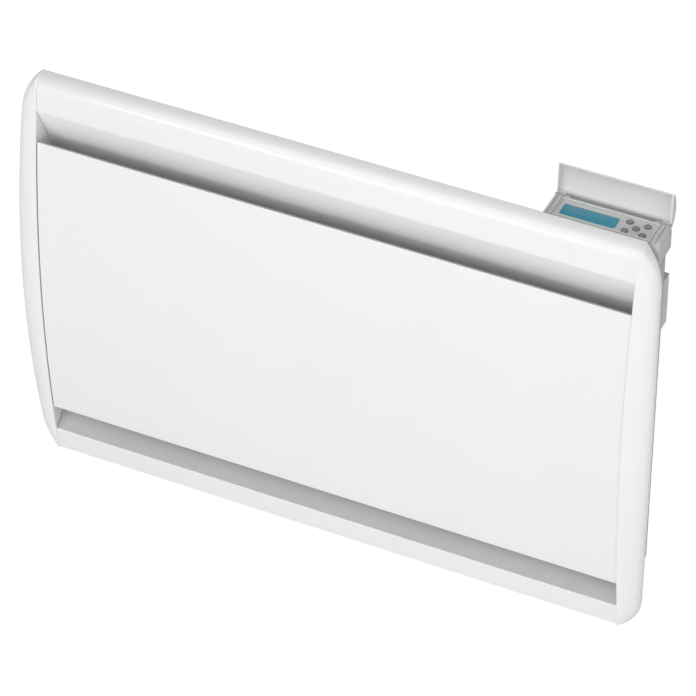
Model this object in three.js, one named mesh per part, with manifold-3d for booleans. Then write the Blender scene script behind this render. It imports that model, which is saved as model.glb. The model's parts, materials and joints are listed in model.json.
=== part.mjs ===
// Wall panel convector heater with a level digital controller under a flip lid.
// Millimetres. +X to the right, +Y into the wall, +Z up. The origin is on the wall plane, at the
// middle of the wall bracket's upper rail. Each mesh is one closed solid.
import * as THREE from 'three';
import { mergeVertices } from 'three/addons/utils/BufferGeometryUtils.js';
import Module from 'manifold-3d';

const wasm = await Module();
wasm.setup();

// ---------------------------------------------------------------- driving dimensions
const overallWidth = 612.6; // over the end caps, at mid-height
const overallHeight = 429;
const topAboveOrigin = 80; // heater's top edge above the bracket's upper rail
const frontStandOff = 87.8; // wall to the deepest point of the bowed front
const bowRadius = 1365; // the front is one shallow arc seen from the side
const wallGap = 36.5; // wall to the back of the casing

const seat = 0.3; // between pieces that touch
const partSeam = 0.9; // shadow gap on each side of the front panel

const capWidth = 24.1; // end cap at mid-height, from its seam to its outer edge
const capOutlineRadius = 3450; // the outer edge is one shallow arc seen from the front
const capDepth = 12.2; // the cap's rounding, from front to side
const capWall = 2.2;
const capRim = 0.8; // straight rim behind the rounding
const capTopTip = 1.2; // what is left of the cap's width at its top
const capBottomTip = 4;
const capTopCorner = 50; // height of the top corner's rounding
const capBottomCorner = 32;
const capWeb = 2.2; // inner plate that closes the slots' ends
const capWebInset = 2; // the plate's edge inside the cap's front
const capScrewInset = 22; // casing screws from the casing's upper and lower corners
const bossRadius = 3.6; // screw boss behind the cap's inner plate
const bossLength = 14;
const bossAside = 2; // its axis beyond the plate
const bossBore = 1.7;
const bossFloor = 3; // left at the blind end of its bore
const screwRadius = 1.35;
const screwReach = 9; // casing screw into its boss
const screwHeadRadius = 3.4;
const screwHeadHeight = 2.1;
const padInset = 40; // panel pads from the panel's upper and lower edges
const padHeight = 24;
const padDepth = 5;
const padSetback = 7; // behind the front

const topRailHeight = 33.9;
const outletGap = 31.1; // air outlet, between the top rail and the panel
const inletGap = 30.2; // air inlet, between the panel and the bottom rail
const bottomRailHeight = 26;
const railWall = 1.8;
const crownSetback = 30.6; // the top rail's crown behind the deepest point of the front
const crownDrop = 22.5; // the rounding starts this far below the top edge
const bottomRailDepth = 23;
const bottomRailRise = 15.5; // underside's rear edge above the bottom edge

const panelSheet = 1.2;
const panelFold = 3.6; // depth of the folded top and bottom edges
const panelHem = 9;
const panelFlange = 13; // side flanges

const casingSheet = 1;
const casingInset = 12.8; // casing side inside the cap's outer edge
const casingTopDrop = 27; // casing top below the heater's top edge
const casingBottomRise = 61; // casing's rear lower corner above the bottom edge
const casingSideSetback = 8; // side plates start behind the caps' rounding front
const floorKneeDepth = 10.5; // inlet floor: knee behind the bottom rail's top edge
const floorKneeRise = 11.2;

const deflectorSheet = 0.8;
const deflectorDrop = 57.5; // outlet deflector, from its top edge to its lower bend
const deflectorRun = 26.8;
const deflectorTail = 6; // below the bend, down to the heat shield

const shieldSheet = 0.8;
const shieldStandOff = 7; // heat shield in front of the casing's back
const shieldInset = 46.5; // its end inside the casing's side
const shieldFoot = 8;
const shieldBend = 5;
const shieldAbovePanel = 14; // its upper edge above the panel's top edge
const shieldLowRise = 16; // its lower edge above the casing's rear lower corner

const elementRodRadius = 5;
const elementEndReach = 6.5; // the element's end beyond its support
const finEndClear = 17; // outermost fin inside the support
const finPitch = 12;
const finSize = [1.4, 24, 56]; // x, y, z
const elementRise = 62; // element axis above the casing's rear lower corner
const elementSetback = 22; // element axis in front of the casing's back
const supportSheet = 1.5;
const supportHeight = 60;
const supportInset = 38; // element support inside the casing's side
const supportFoot = 14;
const bushRadius = 9;
const bushLength = 9;
const bushFlange = 3; // thickness of the bush's outer flange
const bushFlangeOver = 2.5; // and how far it stands over the bush
const cutoutInset = 42; // thermal cut-out from the heat shield's end
const cutoutDrop = 70; // below the panel's top edge
const cutoutRadius = 8;
const cutoutHeight = 9;
const cutoutFlange = [30, 1.5, 12]; // x, y, z
const cutoutTab = [0.8, 7, 6];
const cutoutTabSpread = 4;
const leadRadius = 1.3;
const leadClear = 4; // a lead's middle from the sheet or end that it passes
const leadSpread = 2.2; // each lead's middle from the wire hole's middle
const leadRearClear = 3; // the element's lead in front of the casing's back
const leadStandOff = 6.6; // the cut-out's lead, in front of that one
const leadInside = 2; // a lead's end inside the power box

const controllerWidth = 104.5;
const controllerHeight = 23.7;
const controllerSetback = 3.5; // behind the top rail's crown
const controllerRearOverhang = 11.5; // behind the casing's back
const controllerWall = 1.6;
const bezelThickness = 2;
const bezelRearFrame = 1.2; // behind the plate's window
const plateSize = [86, 21.8, 1.6]; // display plate
const plateInsetRight = 10.1; // from the controller's right side
const plateInsetFront = 2.6;
const plateRecess = 0.6;
const linkInset = 40; // cable link to the casing, from the controller's left side
const linkSize = [12, 4]; // x, y
const lcdSize = [49.5, 14.4];
const lcdInsetLeft = 4.1; // from the plate's left edge
const lcdInsetFront = 1.9;
const lcdCorner = 2.2;
const lcdThickness = 1.4;
const lcdRecess = 0.2;
const lcdModuleThickness = 4;
const lcdModuleMargin = 1; // around the display window
const buttonRadius = 3.1;
const buttonFlangeRadius = 3.6; // keeps the key under the plate
const buttonFlange = 0.7;
const buttonProud = 0.6;
const buttonTravel = 0.8;
const buttonSpreadX = 8; // outer buttons left and right of the centre one
const buttonSpreadY = 6.4;
const buttonCentreInset = 15.4; // centre button from the plate's right edge
const buttonCentreDepth = 9.2; // and from its front edge
const buttonFit = 0.25;
const padThickness = 1.5;
const domeHeight = 1;
const domeRadius = 0.9;
const pcbThickness = 1.6;

const lidLength = 31.2;
const lidBulge = 8.2;
const lidTail = 4.2;
const lidWall = 1.6;
const lidEnd = 2;
const lidOverhangLeft = 0.6;
const lidInsetRight = 1.6;
const lidOpenAngle = 92; // degrees from closed, as it stands at rest
const lidRimClear = 0.7; // the closed lid's rim above the controller's top
const hingePinRadius = 1.1;
const hingePinReach = 5.6; // pin beyond its eye, into the lid's barrel
const hingeFit = 0.15;
const hingeEyeRadius = 2.2;
const hingeEyeWidth = 5;
const hingeEyeInset = 9; // eye's middle inside the lid's end plate
const hingeRelief = 0.4; // around the lid's barrels
const hingeNeckHeight = 6.3; // from the axis up into the lid's shell
const backStripDrop = 1; // the strip behind the bezel, below the controller's top

const boxSize = [68, 12.2, 52.5]; // power box behind the casing
const boxTopDrop = 55; // its top below the heater's top edge
const boxWall = 1.8;
const cableRadius = 3.1; // bore of the cable gland
const glandRadius = 5.5;
const glandShoulder = 1.5; // the gland's neck in the box's floor is this much thinner
const glandLength = 11;
const glandInset = 20; // from the box's left side
const glandForward = 0.2; // in front of the box's middle
const glandInside = 3; // neck inside the box
const glandTaper = 0.6;
const boardClearLow = 9; // power board above the box's floor
const wireHoleInset = 14; // wire hole from the box's left side and top
const wireHoleRadius = 5;
const relaySize = [18, 6.3, 16];
const relayInset = [14, 8]; // from the box's right side and top
const terminalSize = [24, 5.7, 11];
const terminalInset = [24, 14]; // from the box's left side and bottom
const terminalPitch = 8;
const terminalWell = [2, 3]; // radius, depth
const boxScrewSpread = 22;
const boxScrewDrop = 4;
const boxScrewHead = [2.6, 1.7]; // radius, height
const sensorRadius = 2;
const sensorHeight = 9;
const sensorRise = 11; // above the power box
const sensorInset = 3.4; // from the casing's right side
const earthInset = 4; // earth stud from the box's left side
const earthDrop = 14; // below the box
const earthRadius = 2;
const earthNut = [4, 3.2]; // radius, height
const earthFront = 5.5; // stud in front of the casing's rear face
const earthRear = 8; // and behind it

const bracketSheet = 2;
const bracketRailHeight = 24;
const bracketRailHalfLength = 205;
const bracketRailLip = 7;
const bracketLowerDrop = 235; // lower rail below the upper rail
const uprightX = 162;
const uprightFlange = 20;
const uprightOverrun = 16; // upright beyond the rails
const hookFinger = 8;
const hookTip = 8;
const hookClear = 2; // between the hook's tip and the casing's back sheet
const liftTravel = 12; // the heater rises this far to clear the hooks
const hookDrop = 12; // hook seat below the panel's top edge
const slotWidth = 8;
const screwSlot = [12, 6]; // wall screw slots in the rails
const screwSlotX = 95;

// ---------------------------------------------------------------- derived places
const topZ = topAboveOrigin;
const bottomZ = topZ - overallHeight;
const midZ = (topZ + bottomZ) / 2;
const halfWidth = overallWidth / 2;
const seamX = halfWidth - capWidth;
const casingBackY = -wallGap;
const casingInnerY = casingBackY - casingSheet;
const casingX = halfWidth - casingInset;
const casingTopZ = topZ - casingTopDrop;
const casingBottomZ = bottomZ + casingBottomRise;
const railLowZ = topZ - topRailHeight;
const panelTopZ = railLowZ - outletGap;
const bottomRailTopZ = bottomZ + bottomRailHeight;
const panelBottomZ = bottomRailTopZ + inletGap;
const crownY = -frontStandOff + crownSetback;
const shieldY = casingInnerY - shieldStandOff;
const controllerTopZ = casingTopZ + seat + controllerHeight;
const controllerFrontY = crownY + controllerSetback;
const controllerRearY = casingBackY + controllerRearOverhang;
const controllerLeftX = casingX - controllerWidth;
const hingeY = controllerRearY;
const hingeZ = controllerTopZ - hingeEyeRadius;

const material = (color, roughness, metalness = 0) =>
  new THREE.MeshStandardMaterial({ color, roughness, metalness });
const whiteEnamel = material(0xf0f0f0, 0.35);
const whitePlastic = material(0xf2f2f2, 0.4);
const bareSteel = material(0xb4b6b8, 0.4, 0.8);
const galvanised = material(0xaeb2b4, 0.5, 0.7);
const aluminium = material(0xc9cbcd, 0.35, 0.9);
const ceramic = material(0xe6e0d2, 0.6);
const greyPlastic = material(0xc3c6c6, 0.5);
const darkGreyPlastic = material(0x8d9293, 0.5);
const displayBlue = material(0x4e8ca7, 0.15);
const boardGreen = material(0x2f6a3c, 0.5);
const siliconeGrey = material(0x6b6f70, 0.8);
const blackPlastic = material(0x26282a, 0.5);
const brass = material(0xc0a050, 0.35, 0.9);
const wireRed = material(0x8f2a22, 0.6);
const wireBlue = material(0x2c4f8c, 0.6);

const heater = new THREE.Group();

// ---------------------------------------------------------------- geometry helpers
function solid(geometry) {
  const bare = geometry.clone();
  bare.deleteAttribute('normal');
  if (bare.attributes.uv) bare.deleteAttribute('uv');
  const merged = mergeVertices(bare, 1e-4);
  const vertProperties = new Float32Array(merged.attributes.position.array);
  const triVerts = new Uint32Array(merged.index.array);
  return new wasm.Manifold(new wasm.Mesh({ numProp: 3, vertProperties, triVerts }));
}

function geometryOf(manifold) {
  const mesh = manifold.getMesh();
  const geometry = new THREE.BufferGeometry();
  geometry.setAttribute('position', new THREE.BufferAttribute(mesh.vertProperties, 3));
  geometry.setIndex(new THREE.BufferAttribute(mesh.triVerts, 1));
  geometry.computeVertexNormals();
  return geometry;
}

function join(first, ...others) {
  let result = solid(first);
  for (const other of others) result = result.add(solid(other));
  return geometryOf(result);
}

function cut(first, ...tools) {
  let result = solid(first);
  for (const tool of tools) result = result.subtract(solid(tool));
  return geometryOf(result);
}

function box(low, high) {
  const size = high.map((value, i) => value - low[i]);
  const geometry = new THREE.BoxGeometry(...size);
  geometry.translate(...low.map((value, i) => value + size[i] / 2));
  return geometry;
}

function shapeOf(points) {
  const shape = new THREE.Shape();
  shape.moveTo(...points[0]);
  for (const point of points.slice(1)) shape.lineTo(...point);
  shape.closePath();
  return shape;
}

// A side profile, given as [y, z] points, run along X from x0 to x1.
function alongX(profile, x0, x1) {
  const geometry = new THREE.ExtrudeGeometry(shapeOf(profile), { depth: x1 - x0, bevelEnabled: false });
  const basis = new THREE.Matrix4().makeBasis(
    new THREE.Vector3(0, 1, 0),
    new THREE.Vector3(0, 0, 1),
    new THREE.Vector3(1, 0, 0),
  );
  geometry.applyMatrix4(basis);
  geometry.translate(x0, 0, 0);
  return geometry;
}

// A plan outline, given as [x, y] points, run along Z from z0 to z1.
function alongZ(outline, z0, z1) {
  const geometry = new THREE.ExtrudeGeometry(shapeOf(outline), { depth: z1 - z0, bevelEnabled: false });
  geometry.translate(0, 0, z0);
  return geometry;
}

// A cylinder between two values on one axis ('x', 'y' or 'z'), at the other two coordinates.
function rod(axis, from, to, radius, centre, sides = 20) {
  const geometry = new THREE.CylinderGeometry(radius, radius, to - from, sides);
  if (axis === 'x') geometry.rotateZ(-Math.PI / 2);
  if (axis === 'z') geometry.rotateX(Math.PI / 2);
  const middle = (from + to) / 2;
  const place = { x: [middle, ...centre], y: [centre[0], middle, centre[1]], z: [...centre, middle] }[axis];
  geometry.translate(...place);
  return geometry;
}

// A sheet bent along a path of [y, z] points, thickened to the left of the path's direction.
function sheetPath(path, thickness) {
  const offset = path.map((point, i) => {
    const before = path[Math.max(i - 1, 0)];
    const after = path[Math.min(i + 1, path.length - 1)];
    const into = new THREE.Vector2(point[0] - before[0], point[1] - before[1]);
    const out = new THREE.Vector2(after[0] - point[0], after[1] - point[1]);
    const a = (into.length() ? into : out).clone().normalize();
    const b = (out.length() ? out : into).clone().normalize();
    const normal = new THREE.Vector2(-(a.y + b.y), a.x + b.x).normalize();
    const stretch = thickness / Math.max(normal.dot(new THREE.Vector2(-a.y, a.x)), 0.4);
    return [point[0] + normal.x * stretch, point[1] + normal.y * stretch];
  });
  return [...path, ...offset.reverse()];
}

function tube(points, radius, steps) {
  const curve = new THREE.CatmullRomCurve3(points.map((point) => new THREE.Vector3(...point)));
  const section = new THREE.Shape();
  section.absarc(0, 0, radius, 0, Math.PI * 2);
  return new THREE.ExtrudeGeometry(section, { steps, extrudePath: curve, curveSegments: 4 });
}

function add(name, geometry, finish, group = heater) {
  const mesh = new THREE.Mesh(geometry, finish);
  mesh.name = name;
  group.add(mesh);
  return mesh;
}

// ---------------------------------------------------------------- the bowed front
const frontY = (z) => -frontStandOff + bowRadius - Math.sqrt(bowRadius ** 2 - (z - midZ) ** 2);

// Points on the bowed front between two heights, set back by a depth.
function bow(zFrom, zTo, setback = 0, count = 12) {
  return Array.from({ length: count + 1 }, (_, i) => {
    const z = THREE.MathUtils.lerp(zFrom, zTo, i / count);
    return [frontY(z) + setback, z];
  });
}

// The rounding from the front to the crown of the top rail.
const crownStartZ = topZ - crownDrop;
const crownCurve = new THREE.CubicBezierCurve(
  new THREE.Vector2(frontY(crownStartZ), crownStartZ),
  new THREE.Vector2(frontY(crownStartZ) + 0.8, crownStartZ + 0.69 * crownDrop),
  new THREE.Vector2(THREE.MathUtils.lerp(frontY(crownStartZ), crownY, 0.29), topZ - 0.09 * crownDrop),
  new THREE.Vector2(crownY, topZ),
);
const crownPoints = crownCurve.getPoints(12).map((point) => [point.x, point.y]);

// Depth of the side profile at a height: the bow, then the crown's rounding.
function profileY(z) {
  if (z <= crownStartZ) return frontY(z);
  for (let i = 1; i < crownPoints.length; i += 1) {
    const [y0, z0] = crownPoints[i - 1];
    const [y1, z1] = crownPoints[i];
    if (z <= z1) return y0 + ((y1 - y0) * (z - z0)) / (z1 - z0);
  }
  return crownY;
}

// ---------------------------------------------------------------- top and bottom rails
function topRail() {
  const outer = [...bow(railLowZ, crownStartZ, 0, 6), ...crownPoints.slice(1)];
  const rearFoot = [crownY, casingTopZ + seat];
  const path = [...outer, [crownY + 0.01, topZ - railWall * 0.2], rearFoot];
  const inner = [
    [crownY - railWall, casingTopZ + seat],
    [crownY - railWall, topZ - railWall],
    ...crownPoints.slice(2, -2).reverse().map(([y, z]) => [y + railWall * 0.75, z - railWall * 0.75]),
    ...bow(railLowZ, crownStartZ - railWall, railWall, 6).reverse(),
  ];
  return alongX([...path, ...inner], -seamX + seat, seamX - seat);
}

// Underside of the casing's sloping floor: where it starts behind the bottom rail, and its bend.
function floorLine() {
  const startZ = bottomRailTopZ - casingSheet;
  const start = [frontY(startZ - casingSheet) + railWall + 2 * seat, startZ];
  const knee = [start[0] + floorKneeDepth, start[1] + floorKneeRise];
  return { start, knee };
}

function bottomRail() {
  const rearY = frontY(bottomZ) + bottomRailDepth;
  const lipZ = casingFloorZ(rearY - railWall) - seat;
  const profile = [
    [rearY, lipZ],
    [rearY, bottomZ + bottomRailRise],
    [frontY(bottomZ), bottomZ],
    ...bow(bottomZ, bottomRailTopZ, 0, 4).slice(1),
    [frontY(bottomRailTopZ) + railWall, bottomRailTopZ],
    [frontY(bottomZ + 2 * railWall) + railWall, bottomZ + 2 * railWall],
    [rearY - railWall, bottomZ + bottomRailRise + railWall],
    [rearY - railWall, lipZ],
  ];
  return alongX(profile.reverse(), -seamX + seat, seamX - seat);
}

// Height of the sloping floor's underside at a depth.
function casingFloorZ(y) {
  const { start, knee } = floorLine();
  if (y <= knee[0]) return start[1] + ((knee[1] - start[1]) * (y - start[0])) / (knee[0] - start[0]);
  return knee[1] + ((casingBottomZ - knee[1]) * (y - knee[0])) / (casingBackY - knee[0]);
}

// ---------------------------------------------------------------- end caps
// Width of the cap at a height: its arched edge, then the top and bottom corners.
function capWidthAt(z) {
  const arch = capOutlineRadius - Math.sqrt(capOutlineRadius ** 2 - (z - midZ) ** 2);
  const full = capWidth - arch;
  const intoTop = THREE.MathUtils.clamp((z - topZ + capTopCorner) / capTopCorner, 0, 1);
  const intoBottom = THREE.MathUtils.clamp((bottomZ + capBottomCorner - z) / capBottomCorner, 0, 1);
  if (intoTop > 0) return THREE.MathUtils.lerp(full, capTopTip, intoTop ** 3);
  return THREE.MathUtils.lerp(capBottomTip, full, Math.sqrt(1 - intoBottom ** 2));
}

const capRearY = (z) => Math.min(frontY(z) + capDepth + capRim, crownY);
const capFrontY = (z, depth) => Math.min(Math.max(profileY(z), frontY(z) + depth), capRearY(z) - capRim / 2);
const quarterDepth = (t, depth) => depth * (1 - Math.cos((t * Math.PI) / 2));

// A block with its front face shaped by a function, made from a divided box.
function shapedBlock({ zLow, zHigh, xAt, frontAt, rearAt, columns, rows }) {
  const geometry = new THREE.BoxGeometry(1, 1, 1, columns, 1, rows);
  const position = geometry.attributes.position;
  for (let i = 0; i < position.count; i += 1) {
    const across = position.getX(i) + 0.5;
    const front = position.getY(i) < 0;
    const up = position.getZ(i) + 0.5;
    const z = THREE.MathUtils.lerp(zLow, zHigh, (1 - Math.cos(up * Math.PI)) / 2);
    const x = xAt(across, z);
    position.setXYZ(i, x, front ? frontAt(across, z) : rearAt(z), z);
  }
  return geometry;
}

function capLip() {
  const outer = shapedBlock({
    zLow: bottomZ,
    zHigh: topZ,
    xAt: (t, z) => seamX + capWidthAt(z) * Math.sin((t * Math.PI) / 2),
    frontAt: (t, z) => capFrontY(z, quarterDepth(t, capDepth)),
    rearAt: capRearY,
    columns: 8,
    rows: 36,
  });
  const hollow = shapedBlock({
    zLow: bottomZ + 3 * capWall,
    zHigh: topZ - 3 * capWall,
    xAt: (t, z) => seamX + capWeb + (capWidthAt(z) - capWeb - capWall) * Math.sin((t * Math.PI) / 2),
    frontAt: (t, z) => capWall + capFrontY(z, quarterDepth(t, capDepth - capRim)),
    rearAt: (z) => capRearY(z) + capRim,
    columns: 6,
    rows: 24,
  });
  return solid(outer).subtract(solid(hollow));
}

// The plate inside the casing that closes the slots' ends and carries rails, panel and casing.
function capWebProfile() {
  const rearZ = casingTopZ - casingSheet - seat;
  const footY = frontY(bottomZ) + bottomRailDepth;
  const inset = capWebInset;
  return [
    [frontY(bottomZ) + inset, bottomZ + inset],
    [footY, bottomZ + bottomRailRise],
    [casingInnerY - seat, casingBottomZ],
    [casingInnerY - seat, rearZ],
    [crownY, rearZ],
    [crownY, topZ - inset],
    ...crownPoints.slice(0, -1).reverse().map(([y, z]) => [y + inset, z - inset]),
    ...bow(bottomZ + inset, crownStartZ - inset, inset, 14).slice(1).reverse(),
  ];
}

const capScrewX = seamX + capWeb + bossAside;
const capScrewZ = [casingTopZ - capScrewInset, casingBottomZ + capScrewInset];
const panelPadZ = [panelTopZ - padInset, panelBottomZ + padInset];

function endCap(side) {
  let cap = capLip().add(solid(alongX(capWebProfile(), seamX, seamX + capWeb)));
  for (const z of capScrewZ) {
    const bossFrontY = casingInnerY - bossLength;
    const boss = rod('y', bossFrontY, casingInnerY - seat, bossRadius, [capScrewX, z], 16);
    const hole = rod('y', bossFrontY + bossFloor, casingBackY, bossBore, [capScrewX, z], 12);
    cap = cap.add(solid(boss)).subtract(solid(hole));
  }
  for (const z of panelPadZ) {
    const padY = frontY(z) + padSetback;
    const low = [seamX - partSeam + seat, padY, z - padHeight / 2];
    const high = [seamX + capWeb / 2, padY + padDepth, z + padHeight / 2];
    cap = cap.add(solid(box(low, high)));
  }
  if (side < 0) cap = cap.mirror([1, 0, 0]);
  return geometryOf(cap);
}

function capScrew(side, z) {
  const x = side * capScrewX;
  const headY = casingBackY + seat;
  const shank = rod('y', casingInnerY - screwReach, headY + screwHeadHeight / 2, screwRadius, [x, z], 12);
  const head = rod('y', headY, headY + screwHeadHeight, screwHeadRadius, [x, z], 16);
  return join(shank, head);
}

// ---------------------------------------------------------------- front panel
function frontPanel() {
  const half = seamX - partSeam;
  const skin = [
    ...bow(panelBottomZ, panelTopZ, 0, 16),
    ...bow(panelBottomZ, panelTopZ, panelSheet, 16).reverse(),
  ];
  const topFold = box(
    [-half, frontY(panelTopZ), panelTopZ - panelSheet],
    [half, frontY(panelTopZ) + panelFold, panelTopZ],
  );
  const topHem = box(
    [-half, frontY(panelTopZ) + panelFold - panelSheet, panelTopZ - panelHem],
    [half, frontY(panelTopZ) + panelFold, panelTopZ - panelSheet / 2],
  );
  const lowFold = box(
    [-half, frontY(panelBottomZ), panelBottomZ],
    [half, frontY(panelBottomZ) + panelFold, panelBottomZ + panelSheet],
  );
  const lowHem = box(
    [-half, frontY(panelBottomZ) + panelFold - panelSheet, panelBottomZ + panelSheet / 2],
    [half, frontY(panelBottomZ) + panelFold, panelBottomZ + panelHem],
  );
  const flange = [
    ...bow(panelBottomZ, panelTopZ, 0.2, 16),
    ...bow(panelBottomZ + panelHem, panelTopZ - panelHem, panelFlange, 12).reverse(),
  ];
  return join(
    alongX(skin.reverse(), -half, half),
    topFold,
    topHem,
    lowFold,
    lowHem,
    alongX([...flange].reverse(), -half, -half + panelSheet),
    alongX([...flange].reverse(), half - panelSheet, half),
  );
}

// ---------------------------------------------------------------- rear casing
const hookSeatZ = panelTopZ - hookDrop;
const slotLowZ = hookSeatZ - hookFinger - liftTravel - seat;
const boxTopZ = topZ - boxTopDrop;
const boxLeftX = casingX - boxSize[0];
const wireHole = [boxLeftX + wireHoleInset, boxTopZ - wireHoleInset];
const linkX = controllerLeftX + linkInset;
const earthX = boxLeftX + earthInset;
const earthZ = boxTopZ - boxSize[2] - earthDrop;

// The cable link's passage through the casing's top and the controller's floor.
function linkPassage(lowZ, highZ) {
  const rearY = casingInnerY - linkSize[1];
  return box([linkX - linkSize[0] / 2, rearY - linkSize[1], lowZ], [linkX + linkSize[0] / 2, rearY, highZ]);
}

function casing() {
  const sideFrontY = (z) => frontY(z) + casingSideSetback;
  const sideProfile = [
    [casingBackY, casingBottomZ],
    [casingBackY, casingTopZ],
    [crownY + seat, casingTopZ],
    ...bow(casingBottomZ - 12, casingTopZ - 12, casingSideSetback, 8).reverse(),
    [sideFrontY(casingBottomZ) + 6, casingBottomZ - 16],
  ];
  const back = box([-casingX, casingInnerY, casingBottomZ], [casingX, casingBackY, casingTopZ]);
  const left = alongX(sideProfile, -casingX, -casingX + casingSheet);
  const right = alongX(sideProfile, casingX - casingSheet, casingX);
  const top = box(
    [-casingX, crownY + 2 * seat, casingTopZ - casingSheet],
    [casingX, casingBackY, casingTopZ],
  );
  const { start, knee } = floorLine();
  const floor = alongX(
    sheetPath([start, knee, [casingBackY, casingBottomZ]], casingSheet),
    -seamX + seat,
    seamX - seat,
  );
  const slots = [-uprightX, uprightX].map((x) =>
    box(
      [x - slotWidth / 2, casingInnerY - 2, slotLowZ],
      [x + slotWidth / 2, casingBackY + 2, hookSeatZ + seat],
    ),
  );
  const screwHoles = [-1, 1].flatMap((side) =>
    capScrewZ.map((z) =>
      rod('y', casingInnerY - 2, casingBackY + 2, screwRadius + seat, [side * capScrewX, z], 12),
    ),
  );
  const wires = rod('y', casingInnerY - 2, casingBackY + 2, wireHoleRadius, wireHole, 16);
  const link = linkPassage(casingTopZ - 2 * casingSheet, casingTopZ + casingSheet);
  const earthHole = rod('y', casingInnerY - 2, casingBackY + 2, earthRadius + seat, [earthX, earthZ], 12);
  return cut(join(back, left, right, top, floor), ...slots, ...screwHoles, wires, link, earthHole);
}

// ---------------------------------------------------------------- inside the casing
// The outlet's sloping back wall, from under the top rail's lower edge down to the heat shield.
function deflector() {
  const top = [frontY(railLowZ) + railWall, railLowZ - seat];
  const knee = [top[0] + deflectorRun, top[1] - deflectorDrop];
  const tail = [shieldY - shieldSheet - seat, knee[1] - deflectorTail];
  return alongX(sheetPath([tail, knee, top], deflectorSheet).reverse(), -seamX + seat, seamX - seat);
}

const shieldEndX = casingX - shieldInset;

function heatShield() {
  const topEdge = panelTopZ + shieldAbovePanel;
  const lowEdge = casingBottomZ + shieldLowRise;
  const wallY = casingInnerY - seat;
  const path = [
    [wallY, lowEdge],
    [wallY, lowEdge + shieldFoot],
    [shieldY, lowEdge + shieldFoot + shieldBend],
    [shieldY, topEdge - shieldFoot - shieldBend],
    [wallY, topEdge - shieldFoot],
    [wallY, topEdge],
  ];
  return alongX(sheetPath(path, shieldSheet), -shieldEndX, shieldEndX);
}

const elementY = casingBackY - elementSetback;
const elementZ = casingBottomZ + elementRise;
const supportX = casingX - supportInset;
const elementEndX = supportX + elementEndReach;

function heatingElement() {
  const core = rod('x', -elementEndX, elementEndX, elementRodRadius, [elementY, elementZ], 12);
  const finCount = Math.floor((2 * (supportX - finEndClear)) / finPitch) + 1;
  const fins = Array.from({ length: finCount }, (_, i) => {
    const x = (i - (finCount - 1) / 2) * finPitch;
    return box(
      [x - finSize[0] / 2, elementY - finSize[1] / 2, elementZ - finSize[2] / 2],
      [x + finSize[0] / 2, elementY + finSize[1] / 2, elementZ + finSize[2] / 2],
    );
  });
  return join(core, ...fins);
}

function elementSupport(side) {
  const wallY = casingInnerY - seat;
  const plate = box(
    [supportX, elementY - finSize[1] / 2, elementZ - supportHeight / 2],
    [supportX + supportSheet, wallY, elementZ + supportHeight / 2],
  );
  const foot = box(
    [supportX, wallY - supportSheet, elementZ - supportHeight / 2],
    [supportX + supportFoot, wallY, elementZ + supportHeight / 2],
  );
  const eyeEnd = supportX + 2 * supportSheet;
  const eye = rod('x', supportX - supportSheet, eyeEnd, bushRadius + seat, [elementY, elementZ], 24);
  const bracket = cut(join(plate, foot), eye);
  if (side < 0) return geometryOf(solid(bracket).mirror([1, 0, 0]));
  return bracket;
}

function ceramicBush(side) {
  const inner = elementRodRadius + seat;
  const half = bushLength / 2;
  const profile = [
    [inner, -half],
    [bushRadius, -half],
    [bushRadius, half - bushFlange],
    [bushRadius + bushFlangeOver, half - bushFlange],
    [bushRadius + bushFlangeOver, half],
    [inner, half],
    [inner, -half],
  ].map(([radius, height]) => new THREE.Vector2(radius, height));
  const geometry = new THREE.LatheGeometry(profile, 24);
  geometry.rotateZ((side * Math.PI) / 2);
  geometry.translate(side * (supportX + supportSheet / 2), elementY, elementZ);
  return geometry;
}

const cutoutX = shieldEndX - cutoutInset;
const cutoutZ = panelTopZ - cutoutDrop;
const cutoutSeatY = shieldY - shieldSheet - seat;
const cutoutTabEndY = cutoutSeatY - cutoutHeight - cutoutTab[1] + 1;

function thermalCutout() {
  const [width, thickness, height] = cutoutFlange;
  const frontFaceY = cutoutSeatY - cutoutHeight;
  const body = rod('y', frontFaceY, cutoutSeatY - thickness / 2, cutoutRadius, [cutoutX, cutoutZ], 24);
  const flange = box(
    [cutoutX - width / 2, cutoutSeatY - thickness, cutoutZ - height / 2],
    [cutoutX + width / 2, cutoutSeatY, cutoutZ + height / 2],
  );
  const tabs = [-cutoutTabSpread, cutoutTabSpread].map((dx) =>
    box(
      [cutoutX + dx - cutoutTab[0] / 2, cutoutTabEndY, cutoutZ - cutoutTab[2] / 2],
      [cutoutX + dx + cutoutTab[0] / 2, frontFaceY + 1, cutoutZ + cutoutTab[2] / 2],
    ),
  );
  return join(body, flange, ...tabs);
}

function earthStud() {
  const [nutRadius, nutHeight] = earthNut;
  const nutY = casingBackY + seat;
  const stud = rod('y', casingBackY - earthFront, casingBackY + earthRear, earthRadius, [earthX, earthZ], 12);
  const nut = rod('y', nutY, nutY + nutHeight, nutRadius, [earthX, earthZ], 6);
  return join(stud, nut);
}

// Leads from the element's right end and the cut-out to the power box.
function leadFromElement() {
  const rise = wireHole[1] - elementZ;
  const holeX = wireHole[0] + leadSpread;
  const rearY = casingInnerY - leadRearClear;
  return tube(
    [
      [elementEndX + seat, elementY, elementZ],
      [elementEndX + leadClear, elementY, elementZ],
      [elementEndX + 2 * leadClear, elementY + leadClear, elementZ + 0.05 * rise],
      [elementEndX + 2 * leadClear, elementY + 1.5 * leadClear, elementZ + 0.2 * rise],
      [elementEndX + leadClear, elementY + 2 * leadClear, elementZ + 0.5 * rise],
      [THREE.MathUtils.lerp(holeX, elementEndX, 0.6), rearY, wireHole[1] - 0.1 * rise],
      [holeX, rearY, wireHole[1] - wireHoleRadius],
      [holeX, casingBackY + leadInside, wireHole[1]],
    ],
    leadRadius,
    44,
  );
}

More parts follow.
